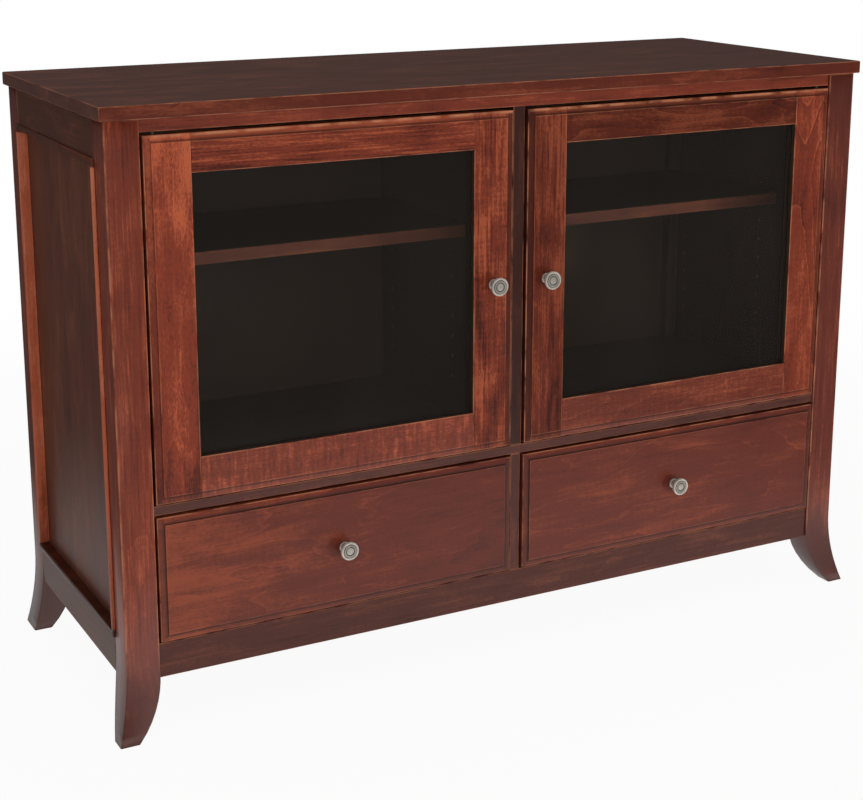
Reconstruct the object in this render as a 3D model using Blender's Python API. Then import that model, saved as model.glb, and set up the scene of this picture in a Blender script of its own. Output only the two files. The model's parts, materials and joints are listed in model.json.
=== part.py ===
"""Media cabinet: two glazed doors above two drawers, on four corner posts that sweep out into feet.

Metres, +Z up. The front faces -Y. The origin is on the floor, under the middle of the whole cabinet.
Most places are given as a distance out from the middle plane, and a side of -1 (left) or +1 (right).
"""

import math

import bmesh
import bpy
from mathutils import Matrix, Vector

# Overall sizes
HEIGHT = 0.860
POST_SPAN_X = 1.207
POST_SPAN_Y = 0.455

# Clearances
FIT = 0.0003
PIN_PLAY = 0.00007
SOCKET_PLAY = 0.001

# Top board
TOP_THICK = 0.0187
TOP_OVERHANG = 0.0065
TOP_EASE = 0.0016

# Corner posts and their swept feet
POST_SIDE = 0.047
POST_EASE = 0.0016
FOOT_SIDE = 0.0275
FOOT_FLARE = 0.0185
OUTER_SWEEP_ABOVE = 0.034
INNER_SWEEP_ABOVE = 0.008
SWEEP_STEPS = 9
EASE_STEPS = 2

# Rails between the posts
RAIL_EASE = 0.001
FRONT_RAIL_HIGH = 0.0172
FRONT_RAIL_THICK = 0.022
RAIL_SETBACK = 0.0035
APRON_HIGH = 0.0495
APRON_THICK = 0.019
LEG_CLEAR = 0.080
SIDE_TOP_RAIL_HIGH = 0.056
SIDE_BOTTOM_RAIL_HIGH = 0.057
TENON_THICK = 0.008
TENON_LONG = 0.018
TENON_SHOULDER = 0.004

# Side panels and the bead that frames each
PANEL_RECESS = 0.011
PANEL_THICK = 0.016
PANEL_TONGUE = 0.007
PANEL_BACK_WALL = 0.003
BEAD_LAP = 0.004
BEAD_PROUD = 0.004
BEAD_SHOULDER = 0.002
BEAD_INSIDE = 0.005
BEAD_STEPS = 4

# Boards inside
DECK_THICK = 0.0135
BOTTOM_THICK = 0.016
PARTITION_THICK = 0.019
DIVIDER_THICK = 0.016
BACK_THICK = 0.006
BACK_INSET = 0.0225
BACK_TONGUE = 0.008
BOARD_EASE = 0.0006

# Shelves and their pins
SHELF_THICK = 0.018
SHELF_SETBACK = 0.138
SHELF_REAR_GAP = 0.002
SHELF_END_GAP = 0.0015
PIN_RADIUS = 0.0025
PIN_HOLE_DEEP = 0.006
PIN_OUT = 0.009
PIN_PITCH = 0.032
PIN_ROWS = 9
SHELF_ROW = 7
PIN_FIRST = 0.0625
PIN_FROM_SHELF_FRONT = 0.043
PIN_FROM_SHELF_BACK = 0.0195
HOLE_SIDES = 10

# Doors, whose faces stand a little proud of the posts, as the drawers' do
FRONT_PROUD = 0.0035
DOOR_THICK = 0.021
DOOR_HINGE_GAP = 0.0035
DOOR_LATCH_GAP = 0.003
DOOR_TOP_GAP = 0.004
DOOR_BOTTOM_GAP = 0.0025
STILE_WIDE = 0.063
TOP_RAIL_HIGH = 0.0513
BOTTOM_RAIL_HIGH = 0.059
DOOR_TENON_LONG = 0.026
DOOR_TENON_THICK = 0.005
DOOR_TENON_SHOULDER = 0.012
ARRIS = 0.0007
GLASS_THICK = 0.004
GLASS_SETBACK = 0.008
GLASS_REBATE = 0.008

# Stepped lip round the doors and drawer fronts
LIP_WIDE = 0.010
LIP_DROP = 0.0034
LIP_STEP = 0.0016
LIP_STEPS = 4

# Pivot hinges in the doors' top and bottom edges
PIVOT_FROM_EDGE = 0.016
PIVOT_SETBACK = 0.0085
HINGE_LEAF_LONG = 0.030
HINGE_LEAF_WIDE = 0.008
HINGE_LEAF_THICK = 0.0025
HINGE_LEAF_BEHIND = 0.006
HINGE_PIN_RADIUS = 0.0025
HINGE_PIN_GRIP = 0.008
HINGE_SIDES = 24

# Drawers
DRAWER_HIGH = 0.177
DRAWER_FRONT_THICK = 0.021
DRAWER_POST_GAP = 0.003
DRAWER_DIVIDER_GAP = 0.003
DRAWER_UNDER_GAP = 0.0028
DRAWER_TOP_GAP = 0.0025
DRAWER_SIDE_THICK = 0.012
DRAWER_SIDE_TOP_GAP = 0.020
DRAWER_REAR_GAP = 0.009
DRAWER_BOTTOM_THICK = 0.006
DRAWER_BOTTOM_RAISED = 0.010
DRAWER_GROOVE = 0.005
GUIDE_HIGH = 0.025
GUIDE_PLAY = 0.001

# Knobs
KNOB_REACH = 0.0215
KNOB_RADIUS = 0.0133
KNOB_RIM = 0.0055
KNOB_EDGE = 0.0012
KNOB_CROWN = 0.0005
KNOB_RING_RADIUS = 0.0103
KNOB_GROOVE_RADIUS = 0.0094
KNOB_DISH_RADIUS = 0.0064
KNOB_DISH_DEEP = 0.0020
KNOB_BUTTON_RADIUS = 0.0056
KNOB_TIP_RADIUS = 0.0027
KNOB_FLARE_RADIUS = 0.0078
KNOB_FLARE_HIGH = 0.0028
KNOB_NECK_RADIUS = 0.0052
KNOB_NECK_LOW = 0.0066
KNOB_COVE_HIGH = 0.0016
KNOB_BASE_RADIUS = 0.0078
KNOB_BASE_HIGH = 0.0026
KNOB_SHOULDER_RADIUS = 0.0062
KNOB_SHOULDER_HIGH = 0.0042
KNOB_STUD_RADIUS = 0.002
KNOB_STUD_LONG = 0.012
KNOB_SIDES = 20
STUD_HOLE_RADIUS = 0.0023

# Where things lie, worked out from the sizes above
FRONT_REACH = max(FRONT_PROUD + KNOB_REACH, FOOT_FLARE, TOP_OVERHANG)
FACE_Y = (FRONT_REACH - POST_SPAN_Y - TOP_OVERHANG) / 2
FRONT_Y = FACE_Y - FRONT_PROUD
REAR_Y = FACE_Y + POST_SPAN_Y
POST_OUT = POST_SPAN_X / 2
POST_IN = POST_OUT - POST_SIDE
POST_FRONT_BACK_Y = FACE_Y + POST_SIDE
POST_REAR_FRONT_Y = REAR_Y - POST_SIDE
TOP_UNDER = HEIGHT - TOP_THICK
POST_HIGH = TOP_UNDER - FIT
PANEL_OUT = POST_OUT - PANEL_RECESS
PANEL_IN = PANEL_OUT - PANEL_THICK
SIDE_RAIL_IN = PANEL_IN - PANEL_BACK_WALL
BACK_FRONT_Y = REAR_Y - BACK_INSET - BACK_THICK
APRON_TOP = LEG_CLEAR + APRON_HIGH
DRAWER_LOW = APRON_TOP + DRAWER_UNDER_GAP
DECK_LOW = DRAWER_LOW + DRAWER_HIGH + DRAWER_TOP_GAP
DECK_TOP = DECK_LOW + DECK_THICK
DOOR_LOW = DECK_TOP + DOOR_BOTTOM_GAP
FRONT_RAIL_LOW = POST_HIGH - FRONT_RAIL_HIGH
DOOR_TOP = FRONT_RAIL_LOW - DOOR_TOP_GAP
DOOR_IN = PARTITION_THICK / 2 + DOOR_LATCH_GAP
DOOR_OUT = POST_IN - DOOR_HINGE_GAP
SIGHT_IN = DOOR_IN + STILE_WIDE
SIGHT_OUT = DOOR_OUT - STILE_WIDE
SIGHT_LOW = DOOR_LOW + BOTTOM_RAIL_HIGH
SIGHT_TOP = DOOR_TOP - TOP_RAIL_HIGH
PIVOT_OUT = DOOR_OUT - PIVOT_FROM_EDGE
PIVOT_Y = FACE_Y + PIVOT_SETBACK
DOOR_MIDDLE_Y = FRONT_Y + DOOR_THICK / 2
DRAWER_IN = DIVIDER_THICK / 2 + DRAWER_DIVIDER_GAP
DRAWER_OUT = POST_IN - DRAWER_POST_GAP
SIDE_OPENING_LOW = LEG_CLEAR + SIDE_BOTTOM_RAIL_HIGH
SIDE_OPENING_TOP = POST_HIGH - SIDE_TOP_RAIL_HIGH
SHELF_BACK_Y = POST_REAR_FRONT_Y - SHELF_REAR_GAP
SHELF_FRONT_Y = FACE_Y + SHELF_SETBACK
PIN_YS = (SHELF_FRONT_Y + PIN_FROM_SHELF_FRONT, SHELF_BACK_Y - PIN_FROM_SHELF_BACK)
PIN_ROW_LOW = DECK_TOP + PIN_FIRST
SHELF_PIN_Z = PIN_ROW_LOW + SHELF_ROW * PIN_PITCH
SHELF_LOW = SHELF_PIN_Z + PIN_RADIUS + FIT
SIDES = (("left", -1), ("right", 1))

FINISHES = {
    "stained_front": ((0.21, 0.042, 0.022), 0.32, 0.0),
    "stained_side": ((0.085, 0.028, 0.019), 0.34, 0.0),
    "stained_top": ((0.075, 0.027, 0.020), 0.30, 0.0),
    "stained_inside": ((0.030, 0.014, 0.010), 0.55, 0.0),
    "drawer_maple": ((0.55, 0.38, 0.22), 0.45, 0.0),
    "clear_glass": ((0.80, 0.84, 0.83), 0.04, 0.0),
    "pewter": ((0.42, 0.39, 0.36), 0.36, 1.0),
    "hinge_steel": ((0.55, 0.54, 0.52), 0.30, 1.0),
}
GLASS_ALPHA = 0.25


def clear_scene():
    for item in list(bpy.data.objects):
        bpy.data.objects.remove(item, do_unlink=True)


def finish_material(name):
    """The Principled material of one finish, made the first time that it is asked for."""
    made = bpy.data.materials.get(name)
    if made:
        return made
    colour, roughness, metallic = FINISHES[name]
    made = bpy.data.materials.new(name)
    made.use_nodes = True
    shader = made.node_tree.nodes["Principled BSDF"]
    shader.inputs["Base Color"].default_value = (*colour, 1.0)
    shader.inputs["Roughness"].default_value = roughness
    shader.inputs["Metallic"].default_value = metallic
    if name == "clear_glass":
        shader.inputs["Alpha"].default_value = GLASS_ALPHA
    return made


def empty(name, place):
    made = bpy.data.objects.new(name, None)
    made.location = place
    bpy.context.scene.collection.objects.link(made)
    return made


def solid(name, shape, finish, origin, parent, smooth=False):
    """An object from a mesh drawn in world space, with its own origin, carried by its parent empty."""
    bmesh.ops.recalc_face_normals(shape, faces=shape.faces)
    bmesh.ops.translate(shape, vec=-Vector(origin), verts=shape.verts)
    mesh = bpy.data.meshes.new(name)
    shape.to_mesh(mesh)
    shape.free()
    if smooth:
        mesh.shade_smooth()
        mesh.set_sharp_from_angle(angle=math.radians(40))
    mesh.materials.append(finish_material(finish))
    made = bpy.data.objects.new(name, mesh)
    bpy.context.scene.collection.objects.link(made)
    made.parent = parent
    made.location = Vector(origin) - parent.location
    return made


def tool(name, shape, parent):
    """A hidden shape that a Boolean cuts away or adds."""
    made = solid(name, shape, "stained_inside", parent.location, parent)
    made.hide_render = True
    made.display_type = "WIRE"
    return made


def boolean(target, other, operation):
    step = target.modifiers.new(other.name, "BOOLEAN")
    step.operation = operation
    step.solver = "EXACT"
    step.object = other


def sided(block, side):
    """The block on one side, where its X range is a distance out from the middle."""
    (near, far), depth, rise = block
    return (tuple(sorted((side * near, side * far))), depth, rise)


def grown(block, by):
    return tuple((low - by, high + by) for low, high in block)


def middle(block):
    return tuple((low + high) / 2 for low, high in block)


def add_block(shape, block):
    size = Matrix.Diagonal([high - low for low, high in block]).to_4x4()
    bmesh.ops.create_cube(shape, size=1, matrix=Matrix.Translation(middle(block)) @ size)


def add_cylinder(shape, start, along, radius, sides):
    """A closed cylinder from start, as long as the vector along."""
    along = Vector(along)
    turn = along.to_track_quat("Z", "Y").to_matrix().to_4x4()
    centre = Matrix.Translation(Vector(start) + along / 2)
    bmesh.ops.create_cone(
        shape,
        cap_ends=True,
        segments=sides,
        radius1=radius,
        radius2=radius,
        depth=along.length,
        matrix=centre @ turn,
    )


def board(name, block, finish, parent, ease=BOARD_EASE, steps=1):
    """A straight board with eased edges."""
    shape = bmesh.new()
    add_block(shape, block)
    made = solid(name, shape, finish, middle(block), parent)
    edge = made.modifiers.new("eased_edges", "BEVEL")
    edge.width = ease
    edge.segments = steps
    edge.limit_method = "ANGLE"
    return made


def cut_block(target, what, block, by=0.0):
    shape = bmesh.new()
    add_block(shape, grown(block, by))
    boolean(target, tool(f"{target.name}_{what}", shape, target.parent), "DIFFERENCE")


def fuse_block(target, what, block):
    shape = bmesh.new()
    add_block(shape, block)
    boolean(target, tool(f"{target.name}_{what}", shape, target.parent), "UNION")


def cut_cylinders(target, what, cylinders, sides):
    shape = bmesh.new()
    for start, along, radius in cylinders:
        add_cylinder(shape, start, along, radius, sides)
    boolean(target, tool(f"{target.name}_{what}", shape, target.parent), "DIFFERENCE")


def tenon_between(rail, post, what, tenon, embed):
    """A tenon on the rail, which starts inside it by embed, and the mortise for it in the post."""
    fuse_block(rail, f"tenon_{what}", embed)
    cut_block(post, f"mortise_{rail.name}", tenon, FIT)


def arc_drop(travel, run, drop):
    """How far a quarter sweep has dropped after some travel: tangent at the start, drop at the full run."""
    radius = (run * run + drop * drop) / (2 * drop)
    travel = min(max(travel, 0.0), run)
    return radius - math.sqrt(radius * radius - travel * travel)


def eased_ring(low_u, high_u, low_v, high_v):
    """The outline of a rectangle with rounded corners."""
    points = []
    corners = ((high_u, high_v, 0), (low_u, high_v, 1), (low_u, low_v, 2), (high_u, low_v, 3))
    for u, v, quarter in corners:
        centre_u = u - math.copysign(POST_EASE, u - (low_u + high_u) / 2)
        centre_v = v - math.copysign(POST_EASE, v - (low_v + high_v) / 2)
        for step in range(EASE_STEPS + 1):
            turn = math.pi / 2 * (quarter + step / EASE_STEPS)
            points.append((centre_u + POST_EASE * math.cos(turn), centre_v + POST_EASE * math.sin(turn)))
    return points


def loft(shape, rings):
    """A closed body through rings of equally many points."""
    rows = [[shape.verts.new(point) for point in ring] for ring in rings]
    count = len(rows[0])
    for lower, upper in zip(rows, rows[1:]):
        for i in range(count):
            j = (i + 1) % count
            shape.faces.new((lower[i], lower[j], upper[j], upper[i]))
    shape.faces.new(rows[0])
    shape.faces.new(rows[-1])


def post(name, side, front, parent):
    """A corner post. A front foot sweeps out to the side and forwards, a back foot to the side only."""
    outer_start = LEG_CLEAR + OUTER_SWEEP_ABOVE
    inner_start = LEG_CLEAR + INNER_SWEEP_ABOVE
    inner_run = FOOT_FLARE + POST_SIDE - FOOT_SIDE
    top_sweep = max(outer_start, inner_start)
    heights = [top_sweep * step / SWEEP_STEPS for step in range(SWEEP_STEPS + 1)] + [POST_HIGH]
    rings = []
    for z in heights:
        swept_out = arc_drop(outer_start - z, outer_start, FOOT_FLARE)
        swept_in = arc_drop(inner_start - z, inner_start, inner_run)
        ring_u = (POST_IN + swept_in, POST_OUT + swept_out)
        ring_v = (swept_in - POST_SIDE, swept_out) if front else (-POST_SIDE, 0.0)
        outline = eased_ring(*ring_u, *ring_v)
        if front:
            ring = [(side * u, FACE_Y - v, z) for u, v in outline]
        else:
            ring = [(side * u, REAR_Y + v, z) for u, v in outline]
        rings.append(ring)
    shape = bmesh.new()
    loft(shape, rings)
    depth = FACE_Y + POST_SIDE / 2 if front else REAR_Y - POST_SIDE / 2
    origin = (side * (POST_IN + POST_SIDE / 2), depth, 0.0)
    return solid(name, shape, "stained_front", origin, parent, smooth=True)


def build_posts(cabinet):
    posts = {}
    for word, side in SIDES:
        posts["front", word] = post(f"post_front_{word}", side, True, cabinet)
        posts["back", word] = post(f"post_back_{word}", side, False, cabinet)
    return posts


def build_top(cabinet):
    half = POST_OUT + TOP_OVERHANG
    block = ((-half, half), (FACE_Y - TOP_OVERHANG, REAR_Y + TOP_OVERHANG), (TOP_UNDER, HEIGHT))
    board("top_board", block, "stained_top", cabinet, TOP_EASE, 2)


def build_front_rails(cabinet, posts):
    """The thin rail under the top and the apron under the drawers, both tenoned into the front posts."""
    reach = POST_IN - FIT
    rows = (
        ("front_top_rail", FRONT_RAIL_THICK, FRONT_RAIL_LOW, POST_HIGH),
        ("bottom_apron", APRON_THICK, LEG_CLEAR, APRON_TOP),
    )
    rails = {}
    for name, thick, low, high in rows:
        depth = (FACE_Y + RAIL_SETBACK, FACE_Y + RAIL_SETBACK + thick)
        rail = board(name, ((-reach, reach), depth, (low, high)), "stained_front", cabinet, RAIL_EASE, 2)
        centre = (depth[0] + depth[1]) / 2
        tenon_y = (centre - TENON_THICK / 2, centre + TENON_THICK / 2)
        tenon_z = (low + TENON_SHOULDER, high - TENON_SHOULDER)
        for word, side in SIDES:
            tenon = sided(((reach, reach + TENON_LONG), tenon_y, tenon_z), side)
            embed = sided(((reach - TENON_LONG, reach + TENON_LONG), tenon_y, tenon_z), side)
            tenon_between(rail, posts["front", word], word, tenon, embed)
        rails[name] = rail
    return rails


def side_rail(name, side, posts, word, low, high, cabinet):
    depth = (POST_FRONT_BACK_Y + FIT, POST_REAR_FRONT_Y - FIT)
    block = sided(((SIDE_RAIL_IN, POST_OUT), depth, (low, high)), side)
    rail = board(name, block, "stained_side", cabinet, RAIL_EASE, 2)
    centre = (SIDE_RAIL_IN + POST_OUT) / 2
    tenon_x = (centre - TENON_THICK / 2, centre + TENON_THICK / 2)
    shoulder = PANEL_TONGUE + TENON_SHOULDER
    tenon_z = (low + shoulder, high - shoulder)
    for end, y, way in (("front", depth[0], -1), ("back", depth[1], 1)):
        tenon_y = tuple(sorted((y, y + way * TENON_LONG)))
        embed_y = tuple(sorted((y - way * TENON_LONG, y + way * TENON_LONG)))
        tenon = sided((tenon_x, tenon_y, tenon_z), side)
        embed = sided((tenon_x, embed_y, tenon_z), side)
        tenon_between(rail, posts[end, word], end, tenon, embed)
    return rail


def bead_ring(side, inset, height):
    """One line of the bead round the panel's opening, at an inset from its edge and a height off the face."""
    front, back = POST_FRONT_BACK_Y + inset, POST_REAR_FRONT_Y - inset
    low, top = SIDE_OPENING_LOW + inset, SIDE_OPENING_TOP - inset
    x = side * (POST_OUT + height)
    return [(x, front, low), (x, back, low), (x, back, top), (x, front, top)]


def side_bead(name, side, cabinet):
    """A proud half-round bead that laps the frame and reaches down to the panel."""
    half_wide = (BEAD_LAP + BEAD_INSIDE) / 2
    centre = (BEAD_INSIDE - BEAD_LAP) / 2
    profile = [(FIT, FIT - PANEL_RECESS), (FIT, FIT), (-BEAD_LAP, FIT)]
    for step in range(BEAD_STEPS + 1):
        turn = math.pi * step / BEAD_STEPS
        rise = BEAD_SHOULDER + (BEAD_PROUD - BEAD_SHOULDER) * math.sin(turn)
        profile.append((centre - half_wide * math.cos(turn), rise))
    profile.append((BEAD_INSIDE, FIT - PANEL_RECESS))
    shape = bmesh.new()
    rings = [bead_ring(side, inset, height) for inset, height in profile]
    rows = [[shape.verts.new(point) for point in ring] for ring in rings]
    for i, row in enumerate(rows):
        following = rows[(i + 1) % len(rows)]
        for k in range(len(row)):
            m = (k + 1) % len(row)
            shape.faces.new((row[k], row[m], following[m], following[k]))
    origin = (side * POST_OUT, (POST_FRONT_BACK_Y + POST_REAR_FRONT_Y) / 2, SIDE_OPENING_LOW)
    solid(name, shape, "stained_front", origin, cabinet)


def pin_hole_starts(wall_x, into):
    """The shelf-pin holes of one wall: two columns, each drilled into the wall from its face."""
    holes = []
    for y in PIN_YS:
        for row in range(PIN_ROWS):
            start = (wall_x - into * PIN_HOLE_DEEP, y, PIN_ROW_LOW + row * PIN_PITCH)
            holes.append((start, (2 * into * PIN_HOLE_DEEP, 0, 0), PIN_RADIUS + PIN_PLAY))
    return holes


def build_sides(cabinet, posts):
    for word, side in SIDES:
        low_rail = (LEG_CLEAR, SIDE_OPENING_LOW)
        top_rail = (SIDE_OPENING_TOP, POST_HIGH)
        lower = side_rail(f"side_bottom_rail_{word}", side, posts, word, *low_rail, cabinet)
        upper = side_rail(f"side_top_rail_{word}", side, posts, word, *top_rail, cabinet)
        depth = (POST_FRONT_BACK_Y - PANEL_TONGUE, POST_REAR_FRONT_Y + PANEL_TONGUE)
        rise = (SIDE_OPENING_LOW - PANEL_TONGUE, SIDE_OPENING_TOP + PANEL_TONGUE)
        block = sided(((PANEL_IN, PANEL_OUT), depth, rise), side)
        panel = board(f"side_panel_{word}", block, "stained_side", cabinet)
        cut_cylinders(panel, "pin_holes", pin_hole_starts(side * PANEL_IN, side), HOLE_SIDES)
        for frame in (lower, upper, posts["front", word], posts["back", word]):
            cut_block(frame, "panel_groove", block, FIT)
        side_bead(f"side_bead_{word}", side, cabinet)


def notched_board(name, setback, low, high, out, finish, cabinet):
    """A full-width board inside the cabinet, cut round the four posts."""
    depth = (FACE_Y + setback, BACK_FRONT_Y - FIT)
    made = board(name, ((-out, out), depth, (low, high)), finish, cabinet, RAIL_EASE, 2)
    for word, side in SIDES:
        past = out + POST_SIDE
        rise = (low - POST_SIDE, high + POST_SIDE)
        front = sided(((POST_IN, past), (FACE_Y - POST_SIDE, POST_FRONT_BACK_Y), rise), side)
        back = sided(((POST_IN, past), (POST_REAR_FRONT_Y, REAR_Y + POST_SIDE), rise), side)
        cut_block(made, f"front_{word}_notch", front, FIT)
        cut_block(made, f"back_{word}_notch", back, FIT)
    return made


def build_inside(cabinet, posts, rails):
    deck_out = PANEL_IN - FIT
    deck = notched_board("middle_deck", RAIL_SETBACK, DECK_LOW, DECK_TOP, deck_out, "stained_front", cabinet)
    bottom_setback = RAIL_SETBACK + APRON_THICK + FIT
    bottom_low = APRON_TOP - BOTTOM_THICK
    bottom_out = SIDE_RAIL_IN - FIT
    rise = (bottom_low, APRON_TOP)
    notched_board("bottom_panel", bottom_setback, *rise, bottom_out, "stained_inside", cabinet)
    back_half = POST_IN + BACK_TONGUE
    back_depth = (BACK_FRONT_Y, BACK_FRONT_Y + BACK_THICK)
    back = ((-back_half, back_half), back_depth, (bottom_low, POST_HIGH))
    board("back_panel", back, "stained_inside", cabinet)
    for word, _ in SIDES:
        cut_block(posts["back", word], "back_groove", back, FIT)
    inside_back = BACK_FRONT_Y - FIT
    half = PARTITION_THICK / 2
    upper = ((-half, half), (FACE_Y + RAIL_SETBACK, inside_back), (DECK_TOP + FIT, POST_HIGH))
    partition = board("centre_partition", upper, "stained_front", cabinet, RAIL_EASE, 2)
    rail_y = (FACE_Y - FRONT_RAIL_THICK, FACE_Y + RAIL_SETBACK + FRONT_RAIL_THICK)
    notch = ((-PARTITION_THICK, PARTITION_THICK), rail_y, (FRONT_RAIL_LOW, HEIGHT))
    cut_block(partition, "rail_notch", notch, FIT)
    holes = pin_hole_starts(-half, 1) + pin_hole_starts(half, -1)
    cut_cylinders(partition, "pin_holes", holes, HOLE_SIDES)
    half = DIVIDER_THICK / 2
    lower = ((-half, half), (FACE_Y + RAIL_SETBACK, inside_back), (APRON_TOP + FIT, DECK_LOW - FIT))
    board("drawer_divider", lower, "stained_front", cabinet, RAIL_EASE, 2)
    for word, side in SIDES:
        guide_y = (POST_FRONT_BACK_Y + FIT, POST_REAR_FRONT_Y - FIT)
        guide_z = (APRON_TOP + FIT, APRON_TOP + FIT + GUIDE_HIGH)
        guide = sided(((DRAWER_OUT + GUIDE_PLAY, SIDE_RAIL_IN - FIT), guide_y, guide_z), side)
        board(f"drawer_guide_{word}", guide, "stained_inside", cabinet)
        hinge_bore(rails["front_top_rail"], f"{word}_hinge_bore", side, FRONT_RAIL_LOW, 1)
        hinge_bore(deck, f"{word}_hinge_bore", side, DECK_TOP, -1)


def hinge_bore(target, what, side, face_z, up):
    """The blind hole that a door's hinge pin turns in, bored from a face of the frame."""
    start = (side * PIVOT_OUT, PIVOT_Y, face_z - up * HINGE_PIN_GRIP)
    along = (0, 0, up * (2 * HINGE_PIN_GRIP + SOCKET_PLAY))
    radius = (HINGE_PIN_RADIUS + PIN_PLAY) / math.cos(math.pi / HINGE_SIDES)
    cut_cylinders(target, what, [(start, along, radius)], HINGE_SIDES)


def build_shelves(cabinet):
    for word, side in SIDES:
        ends = (PARTITION_THICK / 2 + SHELF_END_GAP, PANEL_IN - SHELF_END_GAP)
        rise = (SHELF_LOW, SHELF_LOW + SHELF_THICK)
        block = sided((ends, (SHELF_FRONT_Y, SHELF_BACK_Y), rise), side)
        board(f"shelf_{word}", block, "stained_front", cabinet, RAIL_EASE, 2)
        count = 0
        for wall, inward in ((PARTITION_THICK / 2, 1), (PANEL_IN, -1)):
            for y in PIN_YS:
                count += 1
                first = wall - inward * (PIN_HOLE_DEEP - FIT)
                start = (side * first, y, SHELF_PIN_Z)
                along = (side * inward * (PIN_HOLE_DEEP - FIT + PIN_OUT), 0, 0)
                shape = bmesh.new()
                add_cylinder(shape, start, along, PIN_RADIUS, HOLE_SIDES)
                solid(f"shelf_pin_{word}_{count}", shape, "hinge_steel", start, cabinet, smooth=True)


def lip_profile(thick):
    """The edge of a door or drawer front from its back to its field: (inset, depth behind the field)."""
    profile = [(0.0, thick)]
    for step in range(LIP_STEPS + 1):
        turn = math.pi / 2 * step / LIP_STEPS
        inset = LIP_WIDE * (1 - math.cos(turn))
        depth = LIP_DROP - (LIP_DROP - LIP_STEP) * math.sin(turn)
        profile.append((inset, depth))
    profile.append((LIP_WIDE, 0.0))
    return profile


def lipped_slab(side, near, far, low, high, thick):
    """A flat front with the stepped lip on all four edges."""
    shape = bmesh.new()
    rings = []
    for inset, depth in lip_profile(thick):
        y = FRONT_Y + depth
        left, right = side * (near + inset), side * (far - inset)
        bottom, top = low + inset, high - inset
        rings.append([(left, y, bottom), (right, y, bottom), (right, y, top), (left, y, top)])
    loft(shape, rings)
    return shape


def keep_below(shape, point, normal):
    """Cuts the shape off square at a plane and closes the cut."""
    geometry = shape.verts[:] + shape.edges[:] + shape.faces[:]
    cut = bmesh.ops.bisect_plane(
        shape, geom=geometry, plane_co=point, plane_no=normal, clear_outer=True, dist=1e-7
    )
    rim = [item for item in cut["geom_cut"] if isinstance(item, bmesh.types.BMEdge)]
    bmesh.ops.edgeloop_fill(shape, edges=rim)


def door_stile(name, side, at_hinge, pivot):
    shape = lipped_slab(side, DOOR_IN, DOOR_OUT, DOOR_LOW, DOOR_TOP, DOOR_THICK)
    edge = SIGHT_OUT if at_hinge else SIGHT_IN
    way = -side if at_hinge else side
    keep_below(shape, (side * edge, FRONT_Y, DOOR_LOW), (way, 0, 0))
    keep_below(shape, (side * edge - way * ARRIS, FRONT_Y, DOOR_LOW), (way, -1, 0))
    centre = (DOOR_OUT + SIGHT_OUT) / 2 if at_hinge else (DOOR_IN + SIGHT_IN) / 2
    origin = (side * centre, DOOR_MIDDLE_Y, (DOOR_LOW + DOOR_TOP) / 2)
    return solid(name, shape, "stained_front", origin, pivot)


def door_rail(name, side, at_top, pivot):
    shape = lipped_slab(side, DOOR_IN, DOOR_OUT, DOOR_LOW, DOOR_TOP, DOOR_THICK)
    for edge, way in ((SIGHT_OUT - FIT, side), (SIGHT_IN + FIT, -side)):
        keep_below(shape, (side * edge, FRONT_Y, DOOR_LOW), (way, 0, 0))
    edge, way = (SIGHT_TOP, -1) if at_top else (SIGHT_LOW, 1)
    keep_below(shape, (0, FRONT_Y, edge), (0, 0, way))
    keep_below(shape, (0, FRONT_Y, edge - way * ARRIS), (0, -1, way))
    centre = (DOOR_TOP + SIGHT_TOP) / 2 if at_top else (DOOR_LOW + SIGHT_LOW) / 2
    origin = (side * (SIGHT_IN + SIGHT_OUT) / 2, DOOR_MIDDLE_Y, centre)
    return solid(name, shape, "stained_front", origin, pivot)


def hinge_leaf(name, side, at_top, stile, pivot):
    """A leaf let into the end of the stile, with the pin that turns in the cabinet's frame."""
    end, up = (DOOR_TOP, 1) if at_top else (DOOR_LOW, -1)
    gap = DOOR_TOP_GAP if at_top else DOOR_BOTTOM_GAP
    rise = tuple(sorted((end, end - up * HINGE_LEAF_THICK)))
    span = (PIVOT_OUT + HINGE_LEAF_BEHIND - HINGE_LEAF_LONG, PIVOT_OUT + HINGE_LEAF_BEHIND)
    depth = (PIVOT_Y - HINGE_LEAF_WIDE / 2, PIVOT_Y + HINGE_LEAF_WIDE / 2)
    block = sided((span, depth, rise), side)
    shape = bmesh.new()
    add_block(shape, block)
    origin = (side * PIVOT_OUT, PIVOT_Y, end)
    leaf = solid(name, shape, "hinge_steel", origin, pivot)
    pin = bmesh.new()
    foot = (side * PIVOT_OUT, PIVOT_Y, end - up * HINGE_LEAF_THICK / 2)
    reach = HINGE_LEAF_THICK / 2 + gap + HINGE_PIN_GRIP
    add_cylinder(pin, foot, (0, 0, up * reach), HINGE_PIN_RADIUS, HINGE_SIDES)
    boolean(leaf, tool(f"{name}_pin", pin, pivot), "UNION")
    open_end = tuple(sorted((end + up * HINGE_LEAF_THICK, end - up * HINGE_LEAF_THICK)))
    cut_block(stile, f"{name}_seat", (block[0], block[1], open_end), FIT)


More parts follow.
